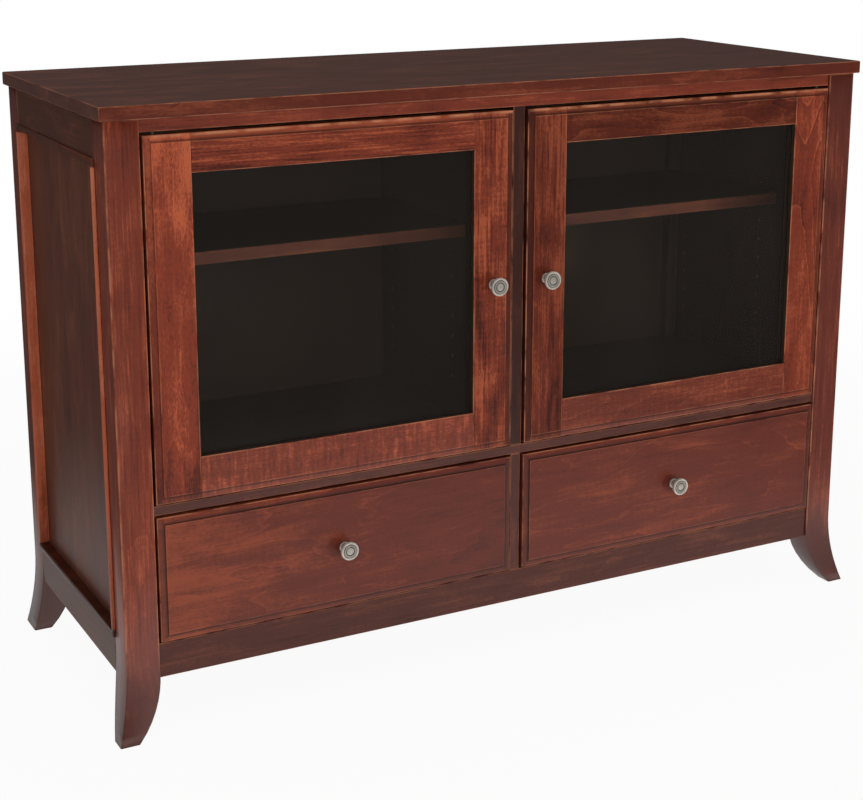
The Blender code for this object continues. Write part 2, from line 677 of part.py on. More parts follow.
def knob_profile():
    """The turned outline from the stud's end to the middle of the face: (radius, distance out)."""
    face = KNOB_REACH - KNOB_CROWN
    rim_back = face - KNOB_RIM
    cove_top = rim_back - KNOB_FLARE_HIGH
    return [
        (KNOB_STUD_RADIUS, -KNOB_STUD_LONG),
        (KNOB_STUD_RADIUS, FIT),
        (KNOB_BASE_RADIUS, FIT),
        (KNOB_BASE_RADIUS, KNOB_BASE_HIGH),
        (KNOB_SHOULDER_RADIUS, KNOB_SHOULDER_HIGH),
        (KNOB_NECK_RADIUS, KNOB_NECK_LOW),
        (KNOB_NECK_RADIUS, cove_top - KNOB_COVE_HIGH),
        (KNOB_FLARE_RADIUS, cove_top),
        (KNOB_RADIUS - KNOB_EDGE, rim_back),
        (KNOB_RADIUS, rim_back + KNOB_EDGE),
        (KNOB_RADIUS, face - KNOB_EDGE),
        (KNOB_RADIUS - KNOB_EDGE, face),
        (KNOB_RING_RADIUS, face),
        (KNOB_GROOVE_RADIUS, face - KNOB_DISH_DEEP),
        (KNOB_DISH_RADIUS, face - KNOB_DISH_DEEP),
        (KNOB_BUTTON_RADIUS, face - KNOB_CROWN),
        (KNOB_TIP_RADIUS, KNOB_REACH),
    ]


def knob(name, x, z, panel, parent):
    """A turned knob with its stud, and the stud's hole in the wood behind it."""
    rings = []
    for radius, out in knob_profile():
        ring = []
        for step in range(KNOB_SIDES):
            turn = 2 * math.pi * step / KNOB_SIDES
            ring.append((x + radius * math.cos(turn), FRONT_Y - out, z + radius * math.sin(turn)))
        rings.append(ring)
    shape = bmesh.new()
    loft(shape, rings)
    solid(name, shape, "pewter", (x, FRONT_Y, z), parent, smooth=True)
    start = (x, FRONT_Y - KNOB_STUD_LONG, z)
    along = (0, 2 * KNOB_STUD_LONG + SOCKET_PLAY, 0)
    cut_cylinders(panel, "knob_hole", [(start, along, STUD_HOLE_RADIUS)], HOLE_SIDES)


def build_door(word, side):
    pivot = empty(f"door_{word}_pivot", (side * PIVOT_OUT, PIVOT_Y, 0.0))
    hinge_stile = door_stile(f"door_{word}_hinge_stile", side, True, pivot)
    latch_stile = door_stile(f"door_{word}_latch_stile", side, False, pivot)
    members = [hinge_stile, latch_stile]
    tenon_y = (DOOR_MIDDLE_Y - DOOR_TENON_THICK / 2, DOOR_MIDDLE_Y + DOOR_TENON_THICK / 2)
    rows = (
        ("top", True, SIGHT_TOP + DOOR_TENON_SHOULDER, DOOR_TOP - DOOR_TENON_SHOULDER),
        ("bottom", False, DOOR_LOW + DOOR_TENON_SHOULDER, SIGHT_LOW - DOOR_TENON_SHOULDER),
    )
    for level, at_top, low, high in rows:
        rail = door_rail(f"door_{word}_{level}_rail", side, at_top, pivot)
        members.append(rail)
        for end, edge, way, stile in (
            ("hinge", SIGHT_OUT - FIT, 1, hinge_stile),
            ("latch", SIGHT_IN + FIT, -1, latch_stile),
        ):
            tip = edge + way * DOOR_TENON_LONG
            tenon = sided(((edge, tip), tenon_y, (low, high)), side)
            embed = sided(((edge - way * DOOR_TENON_LONG, tip), tenon_y, (low, high)), side)
            tenon_between(rail, stile, end, tenon, embed)
    span = (SIGHT_IN - GLASS_REBATE, SIGHT_OUT + GLASS_REBATE)
    rise = (SIGHT_LOW - GLASS_REBATE, SIGHT_TOP + GLASS_REBATE)
    seat_y = FRONT_Y + GLASS_SETBACK
    rebate = sided((span, (seat_y, FRONT_Y + 2 * DOOR_THICK), rise), side)
    for member in members:
        cut_block(member, "glass_rebate", rebate)
    span = (span[0] + FIT, span[1] - FIT)
    rise = (rise[0] + FIT, rise[1] - FIT)
    pane = sided((span, (seat_y + FIT, seat_y + FIT + GLASS_THICK), rise), side)
    shape = bmesh.new()
    add_block(shape, pane)
    solid(f"door_{word}_glass", shape, "clear_glass", middle(pane), pivot)
    hinge_leaf(f"door_{word}_upper_hinge", side, True, hinge_stile, pivot)
    hinge_leaf(f"door_{word}_lower_hinge", side, False, hinge_stile, pivot)
    knob_x = side * (DOOR_IN + SIGHT_IN) / 2
    knob(f"door_{word}_knob", knob_x, (DOOR_LOW + DOOR_TOP) / 2, latch_stile, pivot)


def build_drawer(word, side):
    slide = empty(f"drawer_{word}_slide", (side * (DRAWER_IN + DRAWER_OUT) / 2, FRONT_Y, DRAWER_LOW))
    shape = lipped_slab(side, DRAWER_IN, DRAWER_OUT, DRAWER_LOW, DRAWER_LOW + DRAWER_HIGH, DRAWER_FRONT_THICK)
    centre = (slide.location.x, FRONT_Y, DRAWER_LOW + DRAWER_HIGH / 2)
    front = solid(f"drawer_{word}_front", shape, "stained_front", centre, slide)
    box_front = FRONT_Y + DRAWER_FRONT_THICK + FIT
    box_back = BACK_FRONT_Y - DRAWER_REAR_GAP
    side_low = APRON_TOP + FIT
    side_top = DECK_LOW - DRAWER_SIDE_TOP_GAP
    inner_near, inner_far = DRAWER_IN + DRAWER_SIDE_THICK, DRAWER_OUT - DRAWER_SIDE_THICK
    sheet_low = side_low + DRAWER_BOTTOM_RAISED
    sheet_top = sheet_low + DRAWER_BOTTOM_THICK
    span = (inner_near - DRAWER_GROOVE, inner_far + DRAWER_GROOVE)
    sheet = sided((span, (box_front - DRAWER_GROOVE, box_back), (sheet_low, sheet_top)), side)
    board(f"drawer_{word}_bottom", sheet, "drawer_maple", slide)
    walls = [front]
    for place, near, far in (("inner", DRAWER_IN, inner_near), ("outer", inner_far, DRAWER_OUT)):
        block = sided(((near, far), (box_front, box_back), (side_low, side_top)), side)
        walls.append(board(f"drawer_{word}_{place}_side", block, "drawer_maple", slide))
    groove = (sheet[0], (sheet[1][0], box_back + DRAWER_GROOVE), sheet[2])
    for wall in walls:
        cut_block(wall, "bottom_groove", groove, FIT)
    span = (inner_near + FIT, inner_far - FIT)
    block = sided((span, (box_back - DRAWER_SIDE_THICK, box_back), (sheet_top + FIT, side_top)), side)
    board(f"drawer_{word}_back", block, "drawer_maple", slide)
    knob(f"drawer_{word}_knob", centre[0], centre[2], front, slide)


def main():
    clear_scene()
    cabinet = empty("cabinet", (0.0, 0.0, 0.0))
    posts = build_posts(cabinet)
    build_top(cabinet)
    rails = build_front_rails(cabinet, posts)
    build_sides(cabinet, posts)
    build_inside(cabinet, posts, rails)
    build_shelves(cabinet)
    for word, side in SIDES:
        build_door(word, side)
        build_drawer(word, side)


main()
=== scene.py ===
"""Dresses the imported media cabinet: stained wood, glass, knobs, fittings, a pale studio and its camera.

Metres, +Z up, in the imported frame. The front faces -Y.
"""

import json
import math
from dataclasses import dataclass

import bpy
from bpy.props import FloatProperty, FloatVectorProperty, IntProperty, PointerProperty
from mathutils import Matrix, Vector


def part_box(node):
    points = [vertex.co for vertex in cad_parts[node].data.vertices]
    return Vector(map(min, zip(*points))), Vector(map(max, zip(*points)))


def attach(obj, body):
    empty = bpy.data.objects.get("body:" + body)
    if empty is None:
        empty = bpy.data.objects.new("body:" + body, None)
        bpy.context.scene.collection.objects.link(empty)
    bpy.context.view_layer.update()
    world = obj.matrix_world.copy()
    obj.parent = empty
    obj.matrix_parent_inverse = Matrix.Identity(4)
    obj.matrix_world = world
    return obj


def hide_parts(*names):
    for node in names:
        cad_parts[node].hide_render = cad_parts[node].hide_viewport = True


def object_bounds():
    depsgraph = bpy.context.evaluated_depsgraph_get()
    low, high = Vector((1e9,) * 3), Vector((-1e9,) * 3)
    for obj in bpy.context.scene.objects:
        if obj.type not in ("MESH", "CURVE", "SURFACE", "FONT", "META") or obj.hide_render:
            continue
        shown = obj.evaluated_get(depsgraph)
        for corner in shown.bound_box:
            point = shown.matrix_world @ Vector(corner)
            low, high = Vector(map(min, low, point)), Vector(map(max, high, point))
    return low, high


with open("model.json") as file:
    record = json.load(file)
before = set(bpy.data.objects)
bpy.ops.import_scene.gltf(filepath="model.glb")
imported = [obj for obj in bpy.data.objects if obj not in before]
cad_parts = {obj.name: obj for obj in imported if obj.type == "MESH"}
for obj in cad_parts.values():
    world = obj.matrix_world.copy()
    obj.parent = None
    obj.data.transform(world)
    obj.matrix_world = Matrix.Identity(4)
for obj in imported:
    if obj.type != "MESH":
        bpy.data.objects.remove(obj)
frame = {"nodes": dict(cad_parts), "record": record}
CAD_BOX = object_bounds()

bl_info = {
    "name": "Media Cabinet Looks",
    "version": (1, 0, 0),
    "blender": (4, 5, 0),
    "location": "View3D > Sidebar > Cabinet",
    "description": "Finishes, turned pieces and a studio for a media cabinet with glass doors and drawers",
    "category": "Object",
}

SIDES = ("left", "right")
WHITE = (1.0, 1.0, 1.0, 1.0)


def colour(name, description, default):
    return FloatVectorProperty(
        name=name, description=description, default=default, subtype="COLOR", size=3, min=0.0, max=1.0
    )


def length(name, description, default):
    return FloatProperty(name=name, description=description, default=default, unit="LENGTH", min=0.0)


def lengths(name, description, *default):
    """Two lengths: the width and the length of a mark, or where it begins and where it ends."""
    return FloatVectorProperty(
        name=name, description=description, default=default, unit="LENGTH", size=2, min=0.0
    )


def position(name, description, default):
    return FloatVectorProperty(name=name, description=description, default=default, subtype="TRANSLATION")


def turn(name, description, degrees):
    return FloatProperty(name=name, description=description, default=math.radians(degrees), subtype="ANGLE")


def share(name, description, default):
    return FloatProperty(
        name=name, description=description, default=default, subtype="FACTOR", min=0.0, max=1.0
    )


def power(name, description, default):
    return FloatProperty(name=name, description=description, default=default, unit="POWER", min=0.0)


SHADES = {"Deep": "Darkest grain", "Middle": "Mean colour", "Glow": "Brightest figure"}


def shade(kind, where, default):
    """One colour of a stain, and the boards that it is for."""
    return colour(f"{kind} of {where}", f"{SHADES[kind]} of the {where}", default)


class CabinetStain(bpy.types.PropertyGroup):
    """Colours of the wood: the darkest grain, the mean and the brightest figure of each stain."""

    door_deep: shade("Deep", "doors and posts", (0.066, 0.014, 0.009))
    door_mid: shade("Middle", "doors and posts", (0.180, 0.0305, 0.014))
    door_glow: shade("Glow", "doors and posts", (0.370, 0.078, 0.030))
    drawer_deep: shade("Deep", "drawer fronts", (0.064, 0.016, 0.011))
    drawer_mid: shade("Middle", "drawer fronts", (0.130, 0.0255, 0.015))
    drawer_glow: shade("Glow", "drawer fronts", (0.280, 0.058, 0.024))
    frame_deep: shade("Deep", "boards between the fronts", (0.042, 0.014, 0.011))
    frame_mid: shade("Middle", "boards between the fronts", (0.084, 0.026, 0.019))
    frame_glow: shade("Glow", "boards between the fronts", (0.160, 0.050, 0.030))
    side_deep: shade("Deep", "panelled sides", (0.080, 0.030, 0.021))
    side_mid: shade("Middle", "panelled sides", (0.165, 0.057, 0.036))
    side_glow: shade("Glow", "panelled sides", (0.310, 0.100, 0.050))
    # Painted light: the beads' stain is a much brighter copy of the door stain.
    bead_deep: shade("Deep", "beads on the sides", (0.270, 0.062, 0.030))
    bead_mid: shade("Middle", "beads on the sides", (0.520, 0.125, 0.060))
    bead_glow: shade("Glow", "beads on the sides", (0.680, 0.205, 0.110))
    top_deep: shade("Deep", "top board", (0.052, 0.016, 0.011))
    top_mid: shade("Middle", "top board", (0.112, 0.034, 0.021))
    top_glow: shade("Glow", "top board", (0.215, 0.066, 0.037))
    # The dark inside stain is partly painted shade.
    inside_deep: shade("Deep", "inside", (0.032, 0.023, 0.017))
    inside_mid: shade("Middle", "inside", (0.042, 0.030, 0.022))
    inside_glow: shade("Glow", "inside", (0.052, 0.037, 0.027))
    maple_deep: shade("Deep", "drawer boxes", (0.400, 0.255, 0.130))
    maple_mid: shade("Middle", "drawer boxes", (0.530, 0.370, 0.210))
    maple_glow: shade("Glow", "drawer boxes", (0.640, 0.480, 0.300))
    # Dark glazing in the lips' corners, darkened further as painted shade.
    glaze_and_shade: colour("Glaze", "Dark stain left in the corners of the lips", (0.020, 0.008, 0.006))
    # Light colour on the sharp edges: partly rubbed edges, partly painted highlight.
    wear_and_highlight: colour("Worn edge", "Thin stain on the sharp edges", (0.520, 0.195, 0.095))
    sheen: share("Roughness", "Roughness of the satin lacquer", 0.36)


class CabinetGrain(bpy.types.PropertyGroup):
    """Width across the grain and length along it of each mark in the wood, its rings and its relief."""

    cloud: lengths("Cloud", "Broad light and dark clouds", 0.032, 0.120)
    streak: lengths("Streak", "Long thin streaks", 0.0036, 0.140)
    fibre: lengths("Fibre", "Fine fibres", 0.0019, 0.060)
    pore: lengths("Pore", "Short pores", 0.0020, 0.0060)
    ripple: lengths("Ripple", "Short bars across the grain", 0.030, 0.0045)
    arch: lengths("Arch", "Arches of the growth rings", 0.070, 0.380)
    waver: lengths("Waver", "Unevenness of the arches", 0.014, 0.034)
    curl: lengths("Curl", "Bright licks of flame", 0.0050, 0.024)
    patch: lengths("Patch", "Patches that the flame keeps to", 0.055, 0.130)
    fleck: lengths("Fleck", "Dark flecks", 0.0013, 0.0060)
    wear_and_highlight_patches: lengths("Rubbing", "Patches where the edges are rubbed", 0.030, 0.030)
    relief: length("Relief", "Height of the fibres and veins", 0.0004)
    rings: FloatProperty(name="Rings", description="Growth rings across one arch", default=9.0, min=0.0)
    uneven: share("Unevenness", "Strength of the arches' waver", 0.045)


class CabinetEdges(bpy.types.PropertyGroup):
    """Sizes of the lips, edges and glazing strips, and of the marks on the edges and feet: rubbed edges with
    painted highlight, dark glazing and painted shade on the lips, painted shade on a bead's level runs,
    darkening towards the floor at the feet, and the dark inside, partly painted shade.
    """

    lip_wide: length("Lip width", "Width of the lip round the fronts", 0.010)
    lip_back: length("Lip depth", "Depth of the lip's face behind the front", 0.0042)
    lip_ease: length("Lip ease", "Width of the change of colour at a lip", 0.0010)
    # The dark glazing and painted shade in a lip's corner, and the lip's light lines, partly rubbed and
    # partly painted highlight.
    glaze_and_shade_over: length("Glaze", "How far a lip's glaze runs on to the face", 0.0006)
    line_full: length("Line core", "Width of the full part of a lip's light line", 0.0004)
    line_wide: length("Line width", "Width of a lip's light line", 0.0016)
    inner_line: share("Inner line", "Strength of the light line on a lip's inner edge", 0.4)
    # Light edge lines: partly rubbed, partly painted highlight.
    wear_and_highlight_out: lengths("Wear ends", "How far outside a board's box its wear fades", 0.0002, 0.0012)
    front_edge: lengths("Front edge", "Depth over which the top's front stain ends", 0.0004, 0.0010)
    # Painted shade on the level runs of a bead.
    level_run: lengths("Level runs", "Where the stain of a bead's level runs ends", 0.010, 0.013)
    # A foot grows darker towards the floor, and its light edge lines begin above it.
    foot_dark: lengths("Dark foot", "Heights where a foot's dark stain fades", 0.02, 0.17)
    foot_wear_and_highlight: lengths("Worn foot", "Heights where a post's worn edges begin", 0.08, 0.14)
    foot_shade: share("Foot shade", "Level of the dark stain of a foot", 0.8)
    # The dark inside: partly painted shade, and painted shade in a door's reveal.
    dark_ease: length("Dark ease", "Width of the change to the dark inside", 0.0008)
    dark_skin: length("Dark skin", "How far the dark inside reaches into its boards", 0.001)
    door_front: length("Door front", "Depth of a door's bright front", 0.0014)
    rail_front: length("Rail front", "Depth of the case's bright front", 0.021)
    shelf_front: length("Shelf front", "Depth of a shelf's bright front", 0.0006)
    shelf_round: length("Shelf round", "How far the dark inside reaches past a shelf", 0.01)
    strip_wide: length("Strip width", "Width of the glazing strips behind the panes", 0.0075)
    strip_round: length("Strip rounding", "Rounding of the glazing strips", 0.0040)
    strip_gap: length("Strip gap", "Gap before and behind a glazing strip", 0.0002)
    post_smooth: turn("Post smoothing", "Sharpest edge smoothed on a post", 30)
    bead_smooth: turn("Bead smoothing", "Sharpest edge smoothed on a bead", 40)
    strip_smooth: turn("Strip smoothing", "Sharpest edge smoothed on a strip", 30)


class CabinetGlass(bpy.types.PropertyGroup):
    """Tint, film and reflection of the panes."""

    clean: colour("Clean", "Tint of the clean glass", (0.985, 0.98, 0.97))
    filmed: colour("Filmed", "Tint of the glass under its film", (0.95, 0.945, 0.935))
    dust: colour("Dust", "Colour of the dust on the glass", (0.42, 0.34, 0.28))
    dust_least: share("Least dust", "Share of dust on the clean glass", 0.010)
    dust_more: share("More dust", "Share of dust that the film adds", 0.005)
    film: lengths("Film", "Width and height of the patches of film", 0.12, 0.25)
    facing: share("Facing", "Share reflected straight on", 0.018)
    slanting: share("Slanting", "Share reflected more at a full slant", 0.98)
    steepness: FloatProperty(name="Steepness", description="How late the reflection rises", default=5.0)


class CabinetMetal(bpy.types.PropertyGroup):
    """Finishes and shape of the knobs and fittings."""

    pewter: colour("Pewter", "Rubbed metal of the knobs", (0.860, 0.790, 0.700))
    patina: colour("Patina", "Dark metal in the grooves of the knobs", (0.060, 0.051, 0.043))
    pewter_rough: share("Pewter roughness", "Roughness of the rubbed knobs", 0.40)
    pewter_metallic: share("Pewter metallic", "How metallic the knobs are", 0.55)
    steel: colour("Steel", "Hinges and shelf pins", (0.360, 0.345, 0.320))
    steel_dull: share("Dull steel", "Level of the dull steel", 0.45)
    steel_rough: share("Steel roughness", "Roughness of the bright steel", 0.26)
    steel_metallic: share("Steel metallic", "How metallic the steel is", 0.9)
    smudge: lengths("Smudge", "Size of the smudges", 0.006, 0.006)
    speck: lengths("Speck", "Size of the specks", 0.0009, 0.0009)
    smudged: share("Smudged", "Level of the darkest smudges", 0.72)
    relief: length("Relief", "Height of the specks", 0.0003)
    knob_gap: length("Knob gap", "Gap between a knob and the wood", 0.0003)
    knob_base: length("Knob base", "Width of the flat ring under the foot", 0.0016)
    knob_foot: length("Knob foot", "Radius of the foot on the wood", 0.0078)
    knob_foot_high: length("Knob foot height", "Height of the foot", 0.0024)
    knob_foot_round: length("Knob foot rounding", "Rounding of the foot", 0.0010)
    knob_neck: length("Knob neck", "Radius of the neck", 0.0050)
    knob_waist: length("Knob waist", "Distance from the wood to the neck", 0.0050)
    knob_hollow: length("Knob hollow", "Hollow between foot and neck", 0.0022)
    knob_flare: length("Knob flare", "Hollow between neck and head", 0.0042)
    knob_rim: length("Knob rim", "Thickness of the head at its rim", 0.0055)
    knob_edge: length("Knob edge", "Rounding of the rim", 0.0016)
    knob_ring: length("Knob button", "Radius of the button in the face", 0.0060)
    knob_crown: length("Knob crown", "How far the button passes the rim", 0.0005)
    knob_groove: length("Knob groove", "Depth of the grooves in the face", 0.0012)
    knob_slope: length("Knob slope", "Width of the outer groove's slope", 0.0002)
    knob_outer: length("Knob outer groove", "Width of the outer groove with its slope", 0.0007)
    knob_inner: length("Knob inner groove", "Width of the groove round the button", 0.0006)
    knob_smooth: turn("Knob smoothing", "Sharpest edge smoothed on a knob", 48)
    knob_steps: IntProperty(name="Knob steps", description="Steps round each knob", default=56, min=12)


class CabinetStudio(bpy.types.PropertyGroup):
    """Floor, lights and camera."""

    floor_size: length("Floor size", "Side of the pale floor", 40.0)
    floor_colour: colour("Floor", "Colour of the floor in the shadow", (0.86, 0.86, 0.86))
    floor_shown: lengths("Sweep", "Where the floor fades out of gloss", 0.7, 1.5)
    floor_gloss: share("Floor in gloss", "Level of the near floor in gloss", 0.75)
    shadow: share("Shadow", "Share of the floor that takes the shadow", 0.06)
    shadow_reach: lengths("Shadow reach", "Where the shadow fades", 1.0, 2.6)
    room: share("Room", "Level of the soft light all round", 0.42)
    gloss_room: share("Room in gloss", "Share of the backdrop that gloss shows", 0.08)
    key_place: position("Key place", "Place of the front light", (-0.80, -3.25, 1.10))
    key_size: lengths("Key size", "Width and height of the front light", 2.6, 1.6)
    key_power: power("Key", "Power of the front light", 31.5)
    top_place: position("Top place", "Place of the light above", (0.0, -0.1, 2.8))
    top_size: lengths("Top size", "Width and height of the light above", 2.4, 1.8)
    top_power: power("Top", "Power of the light above", 13.0)
    low_place: position("Low place", "Place of the low light", (0.9, -1.9, 0.12))
    low_aim: position("Low aim", "Where the low light points", (0.0, -0.2, 0.40))
    low_size: lengths("Low size", "Width and height of the low light", 0.13, 0.13)
    low_power: power("Low", "Power of the low light", 9.0)
    camera_place: position("Camera", "Place of the camera", (-1.237, -2.288, 1.129))
    camera_yaw: turn("Yaw", "Turn of the camera to the right", 27.89)
    camera_pitch: turn("Pitch", "Tilt of the camera downwards", 13.51)
    lens: FloatProperty(name="Lens", description="Focal length", default=71.81, unit="CAMERA")
    shift: FloatProperty(name="Shift", description="Vertical shift of the lens", default=-0.12)


class Signal:
    """An output of one node of a material or world. Arithmetic on it adds Math nodes."""

    def __init__(self, tree, socket=None):
        self.tree = tree
        self.socket = socket

    def node(self, kind, settings=None, inputs=None, output=0):
        """Adds any node: first its settings, then the values or links of its sockets. Gives one output."""
        made = self.tree.nodes.new("ShaderNode" + kind)
        for name, value in (settings or {}).items():
            setattr(made, name, value)
        for key, value in (inputs or {}).items():
            if isinstance(value, Signal):
                self.tree.links.new(value.socket, made.inputs[key])
            else:
                made.inputs[key].default_value = value
        return Signal(self.tree, made.outputs[output] if made.outputs else None)

    def maths(self, operation, first, second=0.0):
        return self.node("Math", {"operation": operation}, {0: first, 1: second})

    def __add__(self, other):
        return self.maths("ADD", self, other)

    def __radd__(self, other):
        return self.maths("ADD", other, self)

    def __sub__(self, other):
        return self.maths("SUBTRACT", self, other)

    def __rsub__(self, other):
        return self.maths("SUBTRACT", other, self)

    def __mul__(self, other):
        return self.maths("MULTIPLY", self, other)

    def __rmul__(self, other):
        return self.maths("MULTIPLY", other, self)

    def smaller(self, other):
        return self.maths("MINIMUM", self, other)

    def larger(self, other):
        return self.maths("MAXIMUM", self, other)

    def axis(self, name):
        """The part of a vector along one axis."""
        return self.node("SeparateXYZ", inputs={0: self}, output=name)

    def rise(self, low, high):
        """An eased rise from 0 at low to 1 at high."""
        return self.node(
            "MapRange",
            {"interpolation_type": "SMOOTHSTEP"},
            {"Value": self, "From Min": low, "From Max": high},
        )

    def mixed(self, first, second):
        """A colour that goes from the first to the second as this goes from 0 to 1."""
        ends = [value if isinstance(value, Signal) else (*value, 1.0) for value in (first, second)]
        return self.node("Mix", {"data_type": "RGBA"}, {0: self, 6: ends[0], 7: ends[1]}, 2)


def new_material(name):
    """A material with no shader yet, and the place on the object that its patterns follow."""
    made = bpy.data.materials.new(name)
    made.use_nodes = True
    made.node_tree.nodes.clear()
    return made, Signal(made.node_tree).node("TexCoord", output="Object")


def show(shader):
    shader.node("OutputMaterial", inputs={"Surface": shader})


def stretched_noise(place, along, size, detail=2.0, twist=0.0):
    """Noise drawn out along one axis. Size is the width across it and the length along it of a feature."""
    wide, long = size
    scale = [1 / wide] * 3
    scale["XYZ".index(along)] = 1 / long
    drawn = place.node("VectorMath", {"operation": "MULTIPLY"}, {0: place, 1: scale})
    sockets = {"Vector": drawn, "Scale": 1.0, "Detail": detail, "Distortion": twist}
    return place.node("TexNoise", inputs=sockets, output="Fac")


def axis_depths(place, low, high):
    """How far a point lies inside a box, along each axis."""
    parts = [place.axis(name) for name in "XYZ"]
    return [(part - low[i]).smaller(high[i] - part) for i, part in enumerate(parts)]


def arris(depths, wide, fade):
    """1 on the edges of a box and 0 further than wide from them, fading where a shape leaves the box."""
    x, y, z = depths
    nearest_edge = x.smaller(y).larger(x.larger(y).smaller(z))
    inside = x.smaller(y).smaller(z).rise(-fade[1], -fade[0])
    return inside * (1 - nearest_edge.rise(0.0, wide))


@dataclass
class Wood:
    """What one board's finish is made of: a stain, the grain's axis and the strength of each mark."""

    stain: str
    along: str
    tone: float = 1.0

    # Strength of each mark in the figure, and how much brighter it grows along the grain.
    cloud: float = 1.0
    streak: float = 0.6
    vein: float = 0.1
    ripple: float = 0.15
    pore: float = 0.4
    flame: float = 0.0
    lean: float = 0.0

    # The box of a lipped front, the painted highlight on its level lips and the painted shade on its upright
    # lips, the width of the painted highlight line on its top edge, and the strength and width of the dark
    # glazing and painted shade in the lip's corner.
    outline: tuple = ()
    level_lip_highlight: float = 0.0
    upright_lip_shade: float = 0.3
    lip_line: float = 0.0016
    corner_upright: float = 0.05
    corner_level: float = 0.50
    corner_wide: float = 0.0035

    # Stain and tone of a front edge, stain and tone of the painted shade on the level runs of a bead, and how
    # strongly a foot darkens towards the floor.
    front: tuple = ()
    ends: tuple = ()
    foot: float = 0.0

    # A box in which the board has the dark stain of the inside: partly painted shade, and painted shade in a
    # door's reveal.
    dark_box: tuple = ()

    # The shine of the lacquer, and the strength and width of the light lines on the edges: partly rubbed
    # edges, partly painted highlight.
    shine: float = 0.5
    wear_and_highlight: float = 0.65
    wear_and_highlight_wide: float = 0.0018


# The mean of a noise, and the mean of a board's figure.
NOISE_MEAN = 0.5
FIGURE_MEAN = 0.53

# A noise shows as a mark above the first of these levels, and fully from the second.
CURL_LEVELS = (0.46, 0.84)
PATCH_LEVELS = (0.38, 0.66)
FLECK_LEVELS = (0.72, 0.80)
WEAR_AND_HIGHLIGHT_PATCH_LEVELS = (0.30, 0.62)
SMUDGE_LEVELS = (0.30, 0.66)
FILM_LEVELS = (0.35, 0.75)

# Where the early wood, the body and the late wood lie in one growth ring, from 0 to 1.
EARLY_WOOD = (0.0, 0.30)
RING_BODY = (0.30, 0.90)
LATE_WOOD = (0.88, 0.98)

# How strong the fibres are beside the streaks, and the flecks.
FIBRE_SHARE = 0.9
FLECK_SHARE = 0.5

# How strongly the relief of the wood and of the metal shows.
WOOD_BUMP = 0.08
METAL_BUMP = 0.12


def stain_shades(stain, tone):
    """The deep, middle and glowing colour of a stain."""
    settings = bpy.context.scene.cabinet_stain
    shades = [getattr(settings, f"{stain}_{shade}") for shade in ("deep", "mid", "glow")]
    return [[part * tone for part in shade] for shade in shades]


def shaded(figure, shades):
    """The colour of a stain where its figure runs from 0, deep, to 1, glowing."""
    deep, mid, glow = shades
    return figure.rise(0.5, 1.0).mixed(figure.rise(0.0, 0.5).mixed(deep, mid), glow)


def growth_rings(ring):
    """The veins: low in the early wood of each ring, higher in its body and highest in its late wood."""
    return 0.2 * ring.rise(*RING_BODY) + 0.7 * ring.rise(*LATE_WOOD) - 0.4 * (1 - ring.rise(*EARLY_WOOD))


def wood_figure(place, wood, box):
    """The figure of a board, about 0.5 with dark near 0 and bright near 1, and its fibres and veins."""
    grain = bpy.context.scene.cabinet_grain
    along = wood.along
    cloud = stretched_noise(place, along, grain.cloud, detail=2.5, twist=0.6)
    streak = stretched_noise(place, along, grain.streak, detail=3.0)
    fibre = stretched_noise(place, along, grain.fibre)
    pore = stretched_noise(place, along, grain.pore)
    ripple = stretched_noise(place, along, grain.ripple, twist=0.3)
    waver = stretched_noise(place, along, grain.waver, detail=1.0)
    arches = stretched_noise(place, along, grain.arch, detail=1.0, twist=0.2) + grain.uneven * waver
    vein = growth_rings(place.maths("FRACT", arches * grain.rings))
    streak_mean = NOISE_MEAN + FIBRE_SHARE * NOISE_MEAN
    figure = FIGURE_MEAN + wood.cloud * (cloud - NOISE_MEAN)
    figure = figure + wood.vein * vein + wood.streak * (streak + FIBRE_SHARE * fibre - streak_mean)
    figure = figure + wood.ripple * (ripple - NOISE_MEAN) + wood.pore * (pore - NOISE_MEAN)
    if wood.flame:
        curl = stretched_noise(place, along, grain.curl, twist=1.2).rise(*CURL_LEVELS)
        patch = stretched_noise(place, along, grain.patch, detail=1.0).rise(*PATCH_LEVELS)
        figure = figure + curl * patch * wood.flame
    if wood.lean:
        low, high = [corner["XYZ".index(along)] for corner in box]
        reach = place.axis(along) - (low + high) / 2
        figure = figure + reach * (2 * wood.lean / (high - low))
    return figure, fibre, vein


def lip_marks(place, wood):
    """Where a lip is upright and where it is level, its corner, and the thin light lines on its edges: rubbed
    edges with painted highlight.
    """
    edges = bpy.context.scene.cabinet_edges
    lip, full, wide = edges.lip_wide, edges.line_full, edges.line_wide
    face = lip + edges.glaze_and_shade_over
    x, y, z = axis_depths(place, *wood.outline)
    inset = x.smaller(z)
    upright = 1 - x.rise(lip - edges.lip_ease, lip)
    level = (1 - z.rise(lip - edges.lip_ease, lip)) * (1 - upright)
    corner = inset.rise(lip - wood.corner_wide, lip - full) * (1 - inset.rise(lip, face))
    from_top = wood.outline[1].z - place.axis("Z")
    outer = (1 - inset.rise(full, wide)).larger(1 - from_top.rise(wood.lip_line / 3, wood.lip_line))
    outer = outer * (1 - y.rise(edges.lip_back - full, edges.lip_back + full))
    inner = inset.rise(lip, (lip + face) / 2) * (1 - inset.rise(face, lip + wide))
    return upright, level, corner, outer.larger(edges.inner_line * inner)


